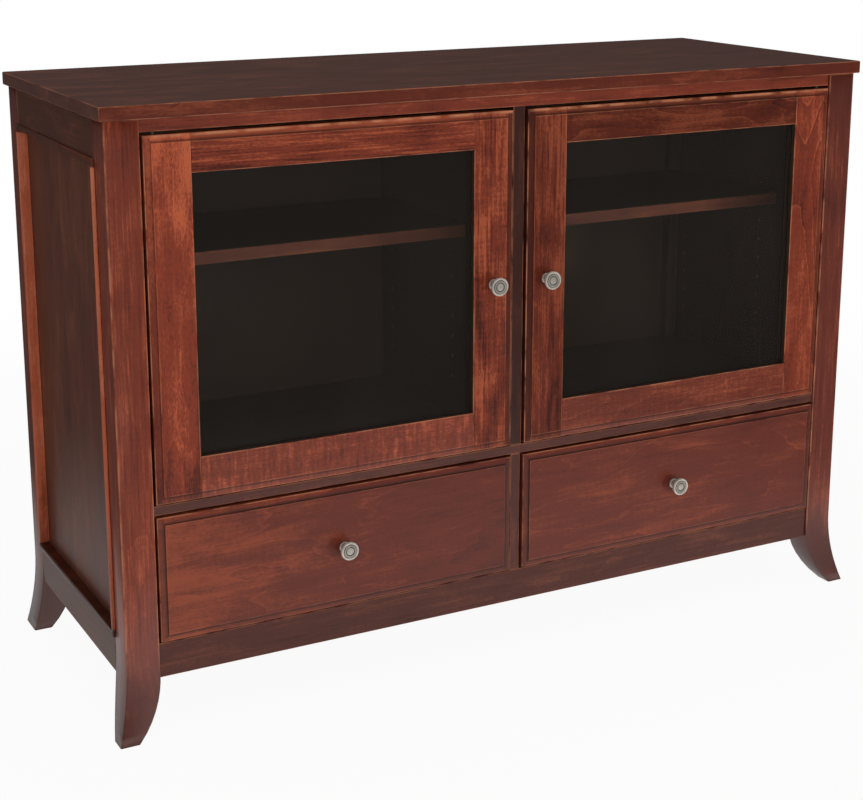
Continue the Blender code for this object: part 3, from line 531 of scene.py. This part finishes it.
def wood_material(name, wood, box):
    """Stained wood: figure and flecks; lips with painted highlight on the level ones, painted shade on the
    upright ones and dark glazing with painted shade in their corners; the level runs of a bead in painted
    shade; a foot darker towards the floor; thin light edge lines, partly rubbed and partly painted highlight;
    and the dark inside, partly painted shade, with painted shade in the door reveals.
    """
    stain = bpy.context.scene.cabinet_stain
    grain = bpy.context.scene.cabinet_grain
    edges = bpy.context.scene.cabinet_edges
    made, place = new_material(name)
    figure, fibre, vein = wood_figure(place, wood, box)
    deep, mid, glow = stain_shades(wood.stain, wood.tone)
    base = shaded(figure, (deep, mid, glow))
    fleck = stretched_noise(place, wood.along, grain.fleck, detail=0.0).rise(*FLECK_LEVELS)
    base = (fleck * FLECK_SHARE).mixed(base, deep)
    depths = axis_depths(place, *box)
    if wood.front:
        front = 1 - depths[1].rise(*edges.front_edge)
        base = front.mixed(base, shaded(figure, stain_shades(*wood.front)))
    # Painted shade: the level runs of a bead take a dark copy of its stain.
    if wood.ends:
        level_run = 1 - depths[2].rise(*edges.level_run)
        base = level_run.mixed(base, shaded(figure, stain_shades(*wood.ends)))
    sharp = arris(depths, wood.wear_and_highlight_wide, edges.wear_and_highlight_out)
    # A foot grows darker towards the floor, and its light edge lines stop above it.
    if wood.foot:
        above = place.axis("Z")
        dark = [part * edges.foot_shade for part in deep]
        base = (wood.foot * (1 - above.rise(*edges.foot_dark))).mixed(base, dark)
        sharp = sharp * above.rise(*edges.foot_wear_and_highlight)
    if wood.outline:
        upright, level, corner, lines = lip_marks(place, wood)
        # Painted highlight on the level lips, painted shade on the upright lips, and dark glazing with
        # painted shade in the lip's corner.
        base = (level * wood.level_lip_highlight).mixed(base, glow)
        base = (upright * wood.upright_lip_shade).mixed(base, deep)
        corner_glaze_and_shade = wood.corner_upright + (wood.corner_level - wood.corner_upright) * level
        base = (corner * corner_glaze_and_shade).mixed(base, stain.glaze_and_shade)
        sharp = sharp.larger(lines)
    # Patchy light lines on the sharp edges: partly rubbed, partly painted highlight.
    wear_and_highlight_patches = stretched_noise(place, "X", grain.wear_and_highlight_patches, detail=3.0).rise(*WEAR_AND_HIGHLIGHT_PATCH_LEVELS)
    edge_wear_and_highlight = sharp * wear_and_highlight_patches * wood.wear_and_highlight
    base = edge_wear_and_highlight.mixed(base, stain.wear_and_highlight)
    # The dark inside stain: partly painted shade, and painted shade in a door's reveal.
    if wood.dark_box:
        x, y, z = axis_depths(place, *wood.dark_box)
        within = x.smaller(y).smaller(z).rise(0.0, edges.dark_ease)
        base = within.mixed(base, shaded(figure, stain_shades("inside", 1.0)))
    rough = stain.sheen + 0.12 * (fibre - NOISE_MEAN) + 0.06 * (figure - NOISE_MEAN) + 0.06 * edge_wear_and_highlight
    relief = {"Strength": WOOD_BUMP, "Distance": grain.relief, "Height": 0.7 * fibre + 0.3 * vein}
    bump = place.node("Bump", inputs=relief, output="Normal")
    sockets = {"Base Color": base, "Roughness": rough, "Specular IOR Level": wood.shine, "Normal": bump}
    show(place.node("BsdfPrincipled", inputs=sockets))
    return made


def metal_material(name, light, dark, rough, metallic, rubbed=None):
    """Metal with smudges and fine specks, and darker where the rubbed attribute is low."""
    metal = bpy.context.scene.cabinet_metal
    made, place = new_material(name)
    smudge = stretched_noise(place, "X", metal.smudge, detail=3.0)
    specks = stretched_noise(place, "X", metal.speck)
    tone = metal.smudged + (1 - metal.smudged) * (0.7 * smudge + 0.3 * specks).rise(*SMUDGE_LEVELS)
    if rubbed:
        tone = tone * place.node("Attribute", {"attribute_name": rubbed}, output="Fac")
    base = tone.mixed(dark, light)
    roughness = rough + 0.14 * (1 - tone) + 0.08 * specks
    relief = {"Strength": METAL_BUMP, "Distance": metal.relief, "Height": specks}
    bump = place.node("Bump", inputs=relief, output="Normal")
    sockets = {"Base Color": base, "Metallic": metallic, "Roughness": roughness, "Normal": bump}
    show(place.node("BsdfPrincipled", inputs=sockets))
    return made


def glass_material(name):
    """Clear sheet glass: it reflects more at a slant, lets the lamps through, and has a faint film on it."""
    glass = bpy.context.scene.cabinet_glass
    made, place = new_material(name)
    film = stretched_noise(place, "Z", glass.film, detail=3.0).rise(*FILM_LEVELS)
    slant = place.node("LayerWeight", inputs={"Blend": 0.5}, output="Facing")
    reflected = glass.facing + glass.slanting * place.maths("POWER", slant, glass.steepness)
    clear = place.node("BsdfTransparent", inputs={"Color": film.mixed(glass.clean, glass.filmed)})
    dust = place.node("BsdfDiffuse", inputs={"Color": (*glass.dust, 1.0)})
    dusty = glass.dust_least + glass.dust_more * film
    clear = place.node("MixShader", inputs={0: dusty, 1: clear, 2: dust})
    mirror = place.node("BsdfGlossy", inputs={"Color": WHITE, "Roughness": 0.0})
    show(place.node("MixShader", inputs={0: reflected, 1: clear, 2: mirror}))
    return made


def paint(node, material):
    """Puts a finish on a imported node."""
    node_object = frame["nodes"][node]
    node_object.data.materials.clear()
    node_object.data.materials.append(material)


def paint_wood(node, wood):
    paint(node, wood_material(f"{node}_wood", wood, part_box(node)))


def joined_box(nodes):
    boxes = [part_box(node) for node in nodes]
    low = Vector([min(box[0][i] for box in boxes) for i in range(3)])
    high = Vector([max(box[1][i] for box in boxes) for i in range(3)])
    return low, high


def deselect():
    if bpy.context.mode != "OBJECT":
        bpy.ops.object.mode_set(mode="OBJECT")
    bpy.ops.object.select_all(action="DESELECT")


def place_piece(piece, body, slot, material, *nodes):
    """Hangs a finished piece on its body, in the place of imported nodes."""
    piece.data.materials.clear()
    piece.data.materials.append(material)
    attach(piece, body)
    if nodes:
        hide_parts(*nodes)


def body_of(node):
    for body, members in frame["record"]["behaviour"]["bodies"].items():
        if node in members:
            return body
    raise RuntimeError(f"no body holds {node}")


# How near two corners are to be joined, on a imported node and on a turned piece.
PACKED_WELD = 1e-6
TURNED_WELD = 2e-6


def smooth_copy(node, name, angle):
    """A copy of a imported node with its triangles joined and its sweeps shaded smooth."""
    deselect()
    copy = bpy.data.objects.new(name, frame["nodes"][node].data.copy())
    bpy.context.scene.collection.objects.link(copy)
    copy.select_set(True)
    bpy.context.view_layer.objects.active = copy
    bpy.ops.object.mode_set(mode="EDIT")
    bpy.ops.mesh.select_all(action="SELECT")
    bpy.ops.mesh.remove_doubles(threshold=PACKED_WELD)
    bpy.ops.object.mode_set(mode="OBJECT")
    bpy.ops.object.shade_smooth_by_angle(angle=angle)
    return copy


def opening_box(side):
    """The opening of a door as far back as its pane, and a skin of the frame round it, whose faces take the
    dark inside stain as painted shade.
    """
    edges = bpy.context.scene.cabinet_edges
    stiles = [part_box(f"door_{side}_{part}_stile") for part in ("hinge", "latch")]
    stiles.sort(key=lambda box: box[0].x)
    front = stiles[0][0].y + edges.door_front
    low = Vector((stiles[0][1].x, front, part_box(f"door_{side}_bottom_rail")[1].z))
    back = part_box(f"door_{side}_glass")[1].y
    high = Vector((stiles[1][0].x, back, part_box(f"door_{side}_top_rail")[0].z))
    skin = Vector((edges.dark_skin, 0.0, edges.dark_skin))
    return low - skin, high + skin


# What all boards of a door share, what each part of its frame adds, and how each board differs.
# The lips take painted highlight where level and painted shade where upright; their corners take dark glazing
# and painted shade.
DOOR_WOOD = dict(
    pore=0.8, wear_and_highlight=0.9, shine=0.35, level_lip_highlight=0.06, upright_lip_shade=0.42, lip_line=0.0052,
    corner_level=0.75, corner_wide=0.0050,
)
DOOR_PARTS = {
    "hinge_stile": dict(along="Z"),
    "latch_stile": dict(along="Z", upright_lip_shade=0.80),
    "top_rail": dict(along="X", level_lip_highlight=0.45),
    "bottom_rail": dict(along="X", shine=0.60),
}
DOOR_PLANKS = {
    "left": {
        "hinge_stile": dict(tone=1.26, cloud=1.5, streak=0.30, vein=0.16, flame=0.40, lean=0.30),
        "latch_stile": dict(tone=0.93, cloud=2.0, streak=1.20, vein=0.05, ripple=0.55, flame=0.25),
        "top_rail": dict(tone=1.00, cloud=1.1, streak=1.35, vein=0.05, ripple=0.10),
        "bottom_rail": dict(tone=1.06, cloud=0.8, streak=0.40, vein=0.06, ripple=1.10),
    },
    "right": {
        "hinge_stile": dict(tone=1.00, cloud=1.2, streak=0.45, vein=0.34, ripple=0.20, flame=0.15),
        "latch_stile": dict(tone=0.69, cloud=2.2, streak=1.00, vein=0.14, flame=0.30, lean=0.10),
        "top_rail": dict(tone=0.49, cloud=1.6, streak=0.40, vein=0.26, ripple=0.25, flame=0.30),
        "bottom_rail": dict(tone=0.80, cloud=0.9, streak=0.45, vein=0.16, ripple=0.40),
    },
}

# What both drawer fronts share, and how each differs.
# The upright lips take painted shade; the corners take dark glazing and painted shade.
DRAWER_WOOD = dict(
    cloud=0.9, streak=0.30, vein=0.14, shine=0.4, upright_lip_shade=0.45,
    corner_upright=0.60, corner_level=0.75, corner_wide=0.0060,
)
DRAWER_PLANKS = {
    "left": dict(flame=0.20, lean=-0.24),
    "right": dict(flame=0.12, lean=-0.03),
}


class CABINET_OT_fronts(bpy.types.Operator):
    """Stains the door frames and the drawer fronts, each board with its own grain and tone, with painted
    highlight and shade on the lips and painted shade in the door reveals
    """

    bl_idname = "cabinet.fronts"
    bl_label = "Doors and Drawer Fronts"

    def execute(self, context):
        for side in SIDES:
            boards = {part: f"door_{side}_{part}" for part in DOOR_PARTS}
            outline = joined_box(boards.values())
            for part, node in boards.items():
                marks = {**DOOR_WOOD, **DOOR_PARTS[part], **DOOR_PLANKS[side][part]}
                paint_wood(node, Wood("door", outline=outline, dark_box=opening_box(side), **marks))
            node = f"drawer_{side}_front"
            marks = {**DRAWER_WOOD, **DRAWER_PLANKS[side]}
            paint_wood(node, Wood("drawer", "X", outline=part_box(node), **marks))
        return {"FINISHED"}


def inside_box():
    """The room behind the doors, and a skin of the boards round it, whose dark inside stain is partly painted
    shade.
    """
    edges = bpy.context.scene.cabinet_edges
    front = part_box("front_top_rail")[0].y + edges.rail_front
    low = Vector((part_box("side_panel_left")[1].x, front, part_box("middle_deck")[1].z))
    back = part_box("back_panel")[0].y + edges.dark_skin
    high = Vector((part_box("side_panel_right")[0].x, back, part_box("top_board")[0].z))
    skin = Vector((edges.dark_skin, 0.0, edges.dark_skin))
    return low - skin, high + skin


class CABINET_OT_case(bpy.types.Operator):
    """Stains the top, the panelled sides and the rails, deck and partition between the fronts"""

    bl_idname = "cabinet.case"
    bl_label = "Case Boards"

    def execute(self, context):
        inside = inside_box()
        paint_wood("front_top_rail", Wood("door", "X", tone=1.08, dark_box=inside))
        paint_wood("bottom_apron", Wood("frame", "X", shine=0.28))
        paint_wood("middle_deck", Wood("frame", "X", tone=1.1, dark_box=inside))
        paint_wood("centre_partition", Wood("frame", "Z", tone=0.52, dark_box=inside))
        paint_wood("drawer_divider", Wood("frame", "Z", shine=0.35))
        for side in SIDES:
            paint_wood(f"side_panel_{side}", Wood("side", "Z", tone=0.77, shine=0.09, dark_box=inside))
            for part in ("top_rail", "bottom_rail"):
                paint_wood(f"side_{part}_{side}", Wood("side", "Y", tone=0.62, shine=0.09))
        top = Wood("top", "X", streak=0.35, lean=-0.08, front=("door", 0.62), wear_and_highlight=0.9, dark_box=inside)
        paint_wood("top_board", top)
        return {"FINISHED"}


# What all the posts share, how each differs, and the wood of the beads: their bright stain is painted light,
# their level runs take a dark copy of it as painted shade, and they grow darker towards the bottom.
POST_WOOD = dict(streak=0.8, flame=0.1, foot=0.80, shine=0.8, wear_and_highlight=0.9, wear_and_highlight_wide=0.0030)
POST_PLANKS = {
    "post_front_left": dict(stain="door", tone=1.10, lean=-0.05),
    # Painted sheen: the front right post takes the greyer drawer stain and grows brighter towards its foot.
    "post_front_right": dict(stain="drawer", tone=1.06, lean=-0.10),
    "post_back_left": dict(stain="door", tone=0.85),
    "post_back_right": dict(stain="door", tone=0.85),
}
BEAD_WOOD = dict(cloud=1.4, flame=0.3, lean=0.30, shine=0.15, wear_and_highlight=0.3, ends=("bead", 0.18))


def straight_box(post):
    """The box of a post's straight upper part, carried down to the floor."""
    points = [vertex.co for vertex in post.data.vertices]
    upper = [point for point in points if point.z > max(point.z for point in points) / 2]
    low = Vector([min(point[i] for point in upper) for i in range(3)])
    high = Vector([max(point[i] for point in upper) for i in range(3)])
    return Vector((low.x, low.y, 0.0)), high


class CABINET_OT_posts(bpy.types.Operator):
    """Shapes the four corner posts with smooth swept feet, and the bead round each side panel"""

    bl_idname = "cabinet.posts"
    bl_label = "Posts and Beads"

    def execute(self, context):
        edges = context.scene.cabinet_edges
        inside = inside_box()
        for node, plank in POST_PLANKS.items():
            piece = smooth_copy(node, f"{node}_piece", edges.post_smooth)
            wood = Wood(along="Z", dark_box=inside, **POST_WOOD, **plank)
            material = wood_material(f"{node}_wood", wood, straight_box(piece))
            place_piece(piece, "cabinet", "stained_front", material, node)
        for side in SIDES:
            node = f"side_bead_{side}"
            piece = smooth_copy(node, f"{node}_piece", edges.bead_smooth)
            material = wood_material(f"{node}_wood", Wood("bead", "Z", **BEAD_WOOD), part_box(node))
            place_piece(piece, "cabinet", "stained_front", material, node)
        return {"FINISHED"}


class CABINET_OT_inside(bpy.types.Operator):
    """Stains the shelves and the boards inside with the dark inside stain, partly painted shade, and finishes
    the maple drawer boxes
    """

    bl_idname = "cabinet.inside"
    bl_label = "Inside and Drawer Boxes"

    def execute(self, context):
        edges = context.scene.cabinet_edges
        paint_wood("back_panel", Wood("frame", "Z", tone=1.1, wear_and_highlight=0.1, dark_box=inside_box()))
        dark = {"bottom_panel": "X", "drawer_guide_left": "Y", "drawer_guide_right": "Y"}
        for node, along in dark.items():
            paint_wood(node, Wood("inside", along, wear_and_highlight=0.02))
        drawer_box = {"inner_side": "Y", "outer_side": "Y", "back": "X", "bottom": "X"}
        beyond = edges.shelf_round
        for side in SIDES:
            low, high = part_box(f"shelf_{side}")
            low = low + Vector((-beyond, edges.shelf_front, -beyond))
            behind = (low, high + Vector((beyond, beyond, beyond)))
            paint_wood(f"shelf_{side}", Wood("side", "X", tone=0.66, wear_and_highlight=0.2, shine=0.2, dark_box=behind))
            for part, along in drawer_box.items():
                paint_wood(f"drawer_{side}_{part}", Wood("maple", along, wear_and_highlight=0.0))
        return {"FINISHED"}


class CABINET_OT_glass(bpy.types.Operator):
    """Glazes the two doors"""

    bl_idname = "cabinet.glass"
    bl_label = "Door Glass"

    def execute(self, context):
        material = glass_material("clear_sheet_glass")
        for side in SIDES:
            paint(f"door_{side}_glass", material)
        return {"FINISHED"}


def glazing_strip(name, low, high, edges):
    """A mitred strip round the edges of a box, open in the middle, with its inner back edge rounded."""
    deselect()
    middle = (low + high) / 2
    start = (middle.x, low.y, middle.z)
    bpy.ops.mesh.primitive_plane_add(size=1.0, location=start, rotation=(math.pi / 2, 0.0, 0.0))
    piece = bpy.context.active_object
    piece.name = name
    piece.scale = (high.x - low.x, high.z - low.z, 1.0)
    bpy.ops.object.transform_apply(location=True, rotation=True, scale=True)
    bpy.ops.object.mode_set(mode="EDIT")
    bpy.ops.mesh.select_all(action="SELECT")
    bpy.ops.mesh.inset(thickness=edges.strip_wide, depth=0.0)
    bpy.ops.mesh.delete(type="FACE")
    bpy.ops.mesh.select_all(action="SELECT")
    bpy.ops.mesh.extrude_region_move(TRANSFORM_OT_translate={"value": (0.0, high.y - low.y, 0.0)})
    bpy.ops.mesh.select_all(action="SELECT")
    bpy.ops.mesh.normals_make_consistent(inside=False)
    bpy.ops.mesh.select_mode(type="EDGE")
    bpy.ops.mesh.select_all(action="DESELECT")
    bpy.ops.object.mode_set(mode="OBJECT")
    inner_x = (high.x - low.x - edges.strip_wide) / 2
    inner_z = (high.z - low.z - edges.strip_wide) / 2
    for edge in piece.data.edges:
        ends = [piece.data.vertices[i].co - middle for i in edge.vertices]
        edge.select = all(abs(end.x) < inner_x and abs(end.z) < inner_z and end.y > 0 for end in ends)
    bpy.ops.object.mode_set(mode="EDIT")
    bpy.ops.mesh.bevel(offset=edges.strip_round, segments=5, affect="EDGES")
    bpy.ops.object.mode_set(mode="OBJECT")
    bpy.ops.object.shade_smooth_by_angle(angle=edges.strip_smooth)
    return piece


class CABINET_OT_strips(bpy.types.Operator):
    """Holds each pane from behind with a rounded glazing strip"""

    bl_idname = "cabinet.strips"
    bl_label = "Glazing Strips"

    def execute(self, context):
        edges = context.scene.cabinet_edges
        for side in SIDES:
            low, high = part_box(f"door_{side}_glass")
            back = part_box(f"door_{side}_top_rail")[1].y
            low = Vector((low.x, high.y + edges.strip_gap, low.z))
            high = Vector((high.x, back - edges.strip_gap, high.z))
            name = f"door_{side}_glazing_strip"
            piece = glazing_strip(name, low, high, edges)
            material = wood_material(f"{name}_wood", Wood("inside", "Z", tone=0.8, wear_and_highlight=0.02), (low, high))
            place_piece(piece, f"{side}_door", "stained_front", material)
        return {"FINISHED"}


# How bright each part of a knob is rubbed, from 0 in its grooves to 1 on its rim.
RUBBED_BASE = 0.2
RUBBED_FOOT = 0.8
RUBBED_HOLLOW = 0.45
RUBBED_FLARE = 0.5
RUBBED_BEAD = 0.6
RUBBED_BUTTON = 0.74
RUBBED_GROOVE = 0.0
RUBBED_RIM = 1.0

# Steps across a knob's button, and the size of the plane that becomes its outline's first point.
BUTTON_STEPS = 7
SEED_SIZE = 0.001


def rounded(centre_radius, centre_out, radius, start, end, steps, rubbed=RUBBED_RIM):
    """An arc of a turned outline. Its points are radius from the axis, distance out and rubbed brightness."""
    points = []
    for step in range(steps + 1):
        angle = math.radians(start + (end - start) * step / steps)
        across = centre_radius + radius * math.cos(angle)
        out = centre_out + radius * math.sin(angle)
        points.append((across, out, rubbed))
    return points


def knob_back(rim_back, metal):
    """The turned outline of a knob from the wood over its foot and neck to the back of its head."""
    foot, neck, gap = metal.knob_foot, metal.knob_neck, metal.knob_gap
    high, bend = metal.knob_foot_high, metal.knob_foot_round
    hollow, flare = metal.knob_hollow, metal.knob_flare
    base = foot - metal.knob_base
    points = [(base, gap, RUBBED_BASE), (foot, gap, RUBBED_BASE), (foot, high / 2, RUBBED_FOOT)]
    points += rounded(foot - bend, high - bend, bend, 0, 90, 4)
    points += rounded(neck + hollow, metal.knob_waist, hollow, 240, 180, 5, RUBBED_HOLLOW)
    points += rounded(neck + flare, rim_back - flare, flare, 180, 100, 6, RUBBED_FLARE)
    return points


def knob_outline(reach, wide, metal):
    """The turned outline of a knob from the wood to the middle of its face."""
    edge, ring, groove = metal.knob_edge, metal.knob_ring, metal.knob_groove
    face = reach - metal.knob_crown
    floor = face - groove
    rim_back = face - metal.knob_rim
    rim_end = wide - 2 * edge
    points = knob_back(rim_back, metal)
    points += rounded(wide - edge, rim_back + edge, edge, -80, 0, 5)
    points += rounded(wide - edge, face - edge, edge, 0, 90, 6)
    points += rounded(wide - edge, face - edge, edge, 90, 165, 4)[1:]
    bead_outer = rim_end - metal.knob_outer
    bead_inner = ring + metal.knob_inner
    bead = (bead_outer - bead_inner) / 2
    points += [(rim_end - metal.knob_slope, floor, RUBBED_GROOVE), (bead_outer, floor, RUBBED_GROOVE)]
    points += rounded(bead_outer - bead, floor, bead, 25, 155, 6, RUBBED_BEAD)
    points += [(bead_inner, floor, RUBBED_GROOVE), (ring, floor, RUBBED_GROOVE)]
    crown = (ring * ring + groove * groove) / (2 * groove)
    for step in range(1, BUTTON_STEPS + 1):
        radius = ring * (1 - step / BUTTON_STEPS)
        out = reach - crown + math.sqrt(crown * crown - radius * radius)
        points.append((radius, out, RUBBED_BUTTON))
    return points


def turned_piece(name, outline, centre, metal):
    """A piece turned about a line through centre along Y: the outline is drawn and spun round."""
    deselect()
    radius, out, _ = outline[0]
    start = Vector((centre.x + radius, centre.y - out, centre.z))
    bpy.ops.mesh.primitive_plane_add(size=SEED_SIZE, location=start)
    piece = bpy.context.active_object
    piece.name = name
    bpy.ops.object.transform_apply(location=True, rotation=True, scale=True)
    bpy.ops.object.mode_set(mode="EDIT")
    bpy.ops.mesh.select_mode(type="VERT")
    bpy.ops.mesh.select_all(action="SELECT")
    bpy.ops.mesh.merge(type="CENTER")
    for (radius, out, _), (next_radius, next_out, _) in zip(outline, outline[1:]):
        step = (next_radius - radius, out - next_out, 0.0)
        bpy.ops.mesh.extrude_vertices_move(TRANSFORM_OT_translate={"value": step})
    bpy.ops.mesh.select_all(action="SELECT")
    bpy.ops.mesh.spin(steps=metal.knob_steps, angle=2 * math.pi, center=centre, axis=(0.0, 1.0, 0.0))
    bpy.ops.mesh.select_all(action="SELECT")
    bpy.ops.mesh.remove_doubles(threshold=TURNED_WELD)
    bpy.ops.mesh.normals_make_consistent(inside=False)
    bpy.ops.object.mode_set(mode="OBJECT")
    bpy.ops.object.shade_smooth_by_angle(angle=metal.knob_smooth)
    if len(piece.data.polygons) < metal.knob_steps * (len(outline) - 1):
        raise RuntimeError(f"{name} was not turned all round")
    return piece


def mark_rubbing(piece, name, outline, centre):
    """Marks how bright each point is rubbed, as its place in the outline says."""
    values = []
    for vertex in piece.data.vertices:
        away = vertex.co - centre
        here = Vector((math.hypot(away.x, away.z), -away.y))
        nearest = min(outline, key=lambda point: (Vector(point[:2]) - here).length_squared)
        values.append(nearest[2])
    piece.data.attributes.new(name, "FLOAT", "POINT").data.foreach_set("value", values)


class CABINET_OT_knobs(bpy.types.Operator):
    """Turns the four pewter knobs, with their rings and dark grooves"""

    bl_idname = "cabinet.knobs"
    bl_label = "Knobs"

    def execute(self, context):
        metal = context.scene.cabinet_metal
        finish = (metal.pewter, metal.patina, metal.pewter_rough, metal.pewter_metallic)
        material = metal_material("antiqued_pewter", *finish, rubbed="rubbed")
        walls = {"door": "latch_stile", "drawer": "front"}
        for group, wall_part in walls.items():
            for side in SIDES:
                node = f"{group}_{side}_knob"
                low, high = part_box(node)
                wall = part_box(f"{group}_{side}_{wall_part}")[0].y
                centre = Vector(((low.x + high.x) / 2, wall, (low.z + high.z) / 2))
                outline = knob_outline(wall - low.y, (high.x - low.x) / 2, metal)
                piece = turned_piece(f"{node}_piece", outline, centre, metal)
                mark_rubbing(piece, "rubbed", outline, centre)
                place_piece(piece, body_of(node), "pewter", material, node)
        return {"FINISHED"}


class CABINET_OT_fittings(bpy.types.Operator):
    """Finishes the steel hinges and shelf pins"""

    bl_idname = "cabinet.fittings"
    bl_label = "Hinges and Pins"

    def execute(self, context):
        metal = context.scene.cabinet_metal
        dull = [part * metal.steel_dull for part in metal.steel]
        material = metal_material("fitting_steel", metal.steel, dull, metal.steel_rough, metal.steel_metallic)
        for side in SIDES:
            nodes = [f"door_{side}_{level}_hinge" for level in ("upper", "lower")]
            nodes += [f"shelf_pin_{side}_{number}" for number in range(1, 5)]
            for node in nodes:
                paint(node, material)
        return {"FINISHED"}


def rays(start):
    """Two masks: 1 for rays seen straight or through glass, and 1 for the other rays of gloss."""
    straight = start.node("LightPath", output="Is Camera Ray")
    through = start.node("LightPath", output="Is Transmission Ray")
    seen = straight.larger(through)
    return seen, start.node("LightPath", output="Is Glossy Ray") * (1 - seen)


def floor_material(studio):
    """A pale floor: white where it is seen, with a light shadow, and fading out of gloss further off."""
    made, place = new_material("studio_floor")
    made.cycles.emission_sampling = "NONE"
    away = place.node("VectorMath", {"operation": "LENGTH"}, {0: place}, "Value")
    shadow = studio.shadow * (1 - away.rise(*studio.shadow_reach))
    near = 1 - away.rise(*studio.floor_shown)
    seen, shine = rays(place)
    matt = place.node("BsdfDiffuse", inputs={"Color": (*studio.floor_colour, 1.0)})
    white = place.node("Emission", inputs={"Color": WHITE})
    sweep = near.mixed([studio.gloss_room] * 3, [studio.floor_gloss] * 3)
    gloss = place.node("Emission", inputs={"Color": sweep})
    floor = place.node("MixShader", inputs={0: seen * (1 - shadow), 1: matt, 2: white})
    show(place.node("MixShader", inputs={0: shine, 1: floor, 2: gloss}))
    return made


def light_room(studio):
    """A soft even room, with a white backdrop where the camera looks past the cabinet."""
    world = bpy.data.worlds.new("studio_room")
    bpy.context.scene.world = world
    world.use_nodes = True
    world.cycles.sampling_method = "NONE"
    world.node_tree.nodes.clear()
    start = Signal(world.node_tree)
    seen, shine = rays(start)
    shells = []
    for level in (studio.room, studio.gloss_room, 1.0):
        shells.append(start.node("Background", inputs={"Color": WHITE, "Strength": level}))
    room, dim, white = shells
    lit = start.node("MixShader", inputs={0: shine, 1: room, 2: dim})
    backed = start.node("MixShader", inputs={0: seen, 1: lit, 2: white})
    start.node("OutputWorld", inputs={"Surface": backed})


def soft_light(name, place, aim, size, energy):
    """A rectangular soft light that faces its aim and doesn't show in gloss or glass."""
    deselect()
    bpy.ops.object.light_add(type="AREA", location=place)
    light = bpy.context.active_object
    light.name = name
    light.rotation_euler = (Vector(aim) - Vector(place)).to_track_quat("-Z", "Y").to_euler()
    light.data.shape = "RECTANGLE"
    light.data.size, light.data.size_y = size
    light.data.energy = energy
    light.visible_glossy = False
    light.visible_transmission = False


class CABINET_OT_stage(bpy.types.Operator):
    """Lays the floor and sets the lights and the camera"""

    bl_idname = "cabinet.stage"
    bl_label = "Studio"

    def execute(self, context):
        studio = context.scene.cabinet_studio
        deselect()
        bpy.ops.mesh.primitive_plane_add(size=studio.floor_size)
        floor = context.active_object
        floor.name = "floor"
        floor.data.materials.append(floor_material(studio))
        light_room(studio)
        middle = (CAD_BOX[0] + CAD_BOX[1]) / 2
        soft_light("front_light", studio.key_place, middle, studio.key_size, studio.key_power)
        soft_light("top_light", studio.top_place, middle, studio.top_size, studio.top_power)
        soft_light("low_light", studio.low_place, studio.low_aim, studio.low_size, studio.low_power)
        bpy.ops.object.camera_add(location=studio.camera_place)
        camera = context.active_object
        camera.name = "photo_camera"
        camera.rotation_euler = (math.pi / 2 - studio.camera_pitch, 0.0, -studio.camera_yaw)
        camera.data.lens = studio.lens
        camera.data.shift_y = studio.shift
        context.scene.camera = camera
        context.scene.view_settings.view_transform = "Standard"
        return {"FINISHED"}


OPERATORS = (
    CABINET_OT_fronts,
    CABINET_OT_case,
    CABINET_OT_posts,
    CABINET_OT_inside,
    CABINET_OT_glass,
    CABINET_OT_strips,
    CABINET_OT_knobs,
    CABINET_OT_fittings,
    CABINET_OT_stage,
)


class CABINET_PT_looks(bpy.types.Panel):
    """Lists the cabinet's pieces and the studio"""

    bl_idname = "CABINET_PT_looks"
    bl_label = "Media Cabinet"
    bl_space_type = "VIEW_3D"
    bl_region_type = "UI"
    bl_category = "Cabinet"

    def draw(self, context):
        for operator in OPERATORS:
            self.layout.operator(operator.bl_idname)


GROUPS = {
    "cabinet_stain": CabinetStain,
    "cabinet_grain": CabinetGrain,
    "cabinet_edges": CabinetEdges,
    "cabinet_glass": CabinetGlass,
    "cabinet_metal": CabinetMetal,
    "cabinet_studio": CabinetStudio,
}


def register():
    for made in (*GROUPS.values(), *OPERATORS, CABINET_PT_looks):
        bpy.utils.register_class(made)
    for name, group in GROUPS.items():
        setattr(bpy.types.Scene, name, PointerProperty(type=group))


def unregister():
    for name in GROUPS:
        delattr(bpy.types.Scene, name)
    for made in (CABINET_PT_looks, *reversed(OPERATORS), *reversed(GROUPS.values())):
        bpy.utils.unregister_class(made)


def main():
    register()
    bpy.ops.cabinet.fronts()
    bpy.ops.cabinet.case()
    bpy.ops.cabinet.posts()
    bpy.ops.cabinet.inside()
    bpy.ops.cabinet.glass()
    bpy.ops.cabinet.strips()
    bpy.ops.cabinet.knobs()
    bpy.ops.cabinet.fittings()
    bpy.ops.cabinet.stage()


if __name__ == "__main__":
    main()
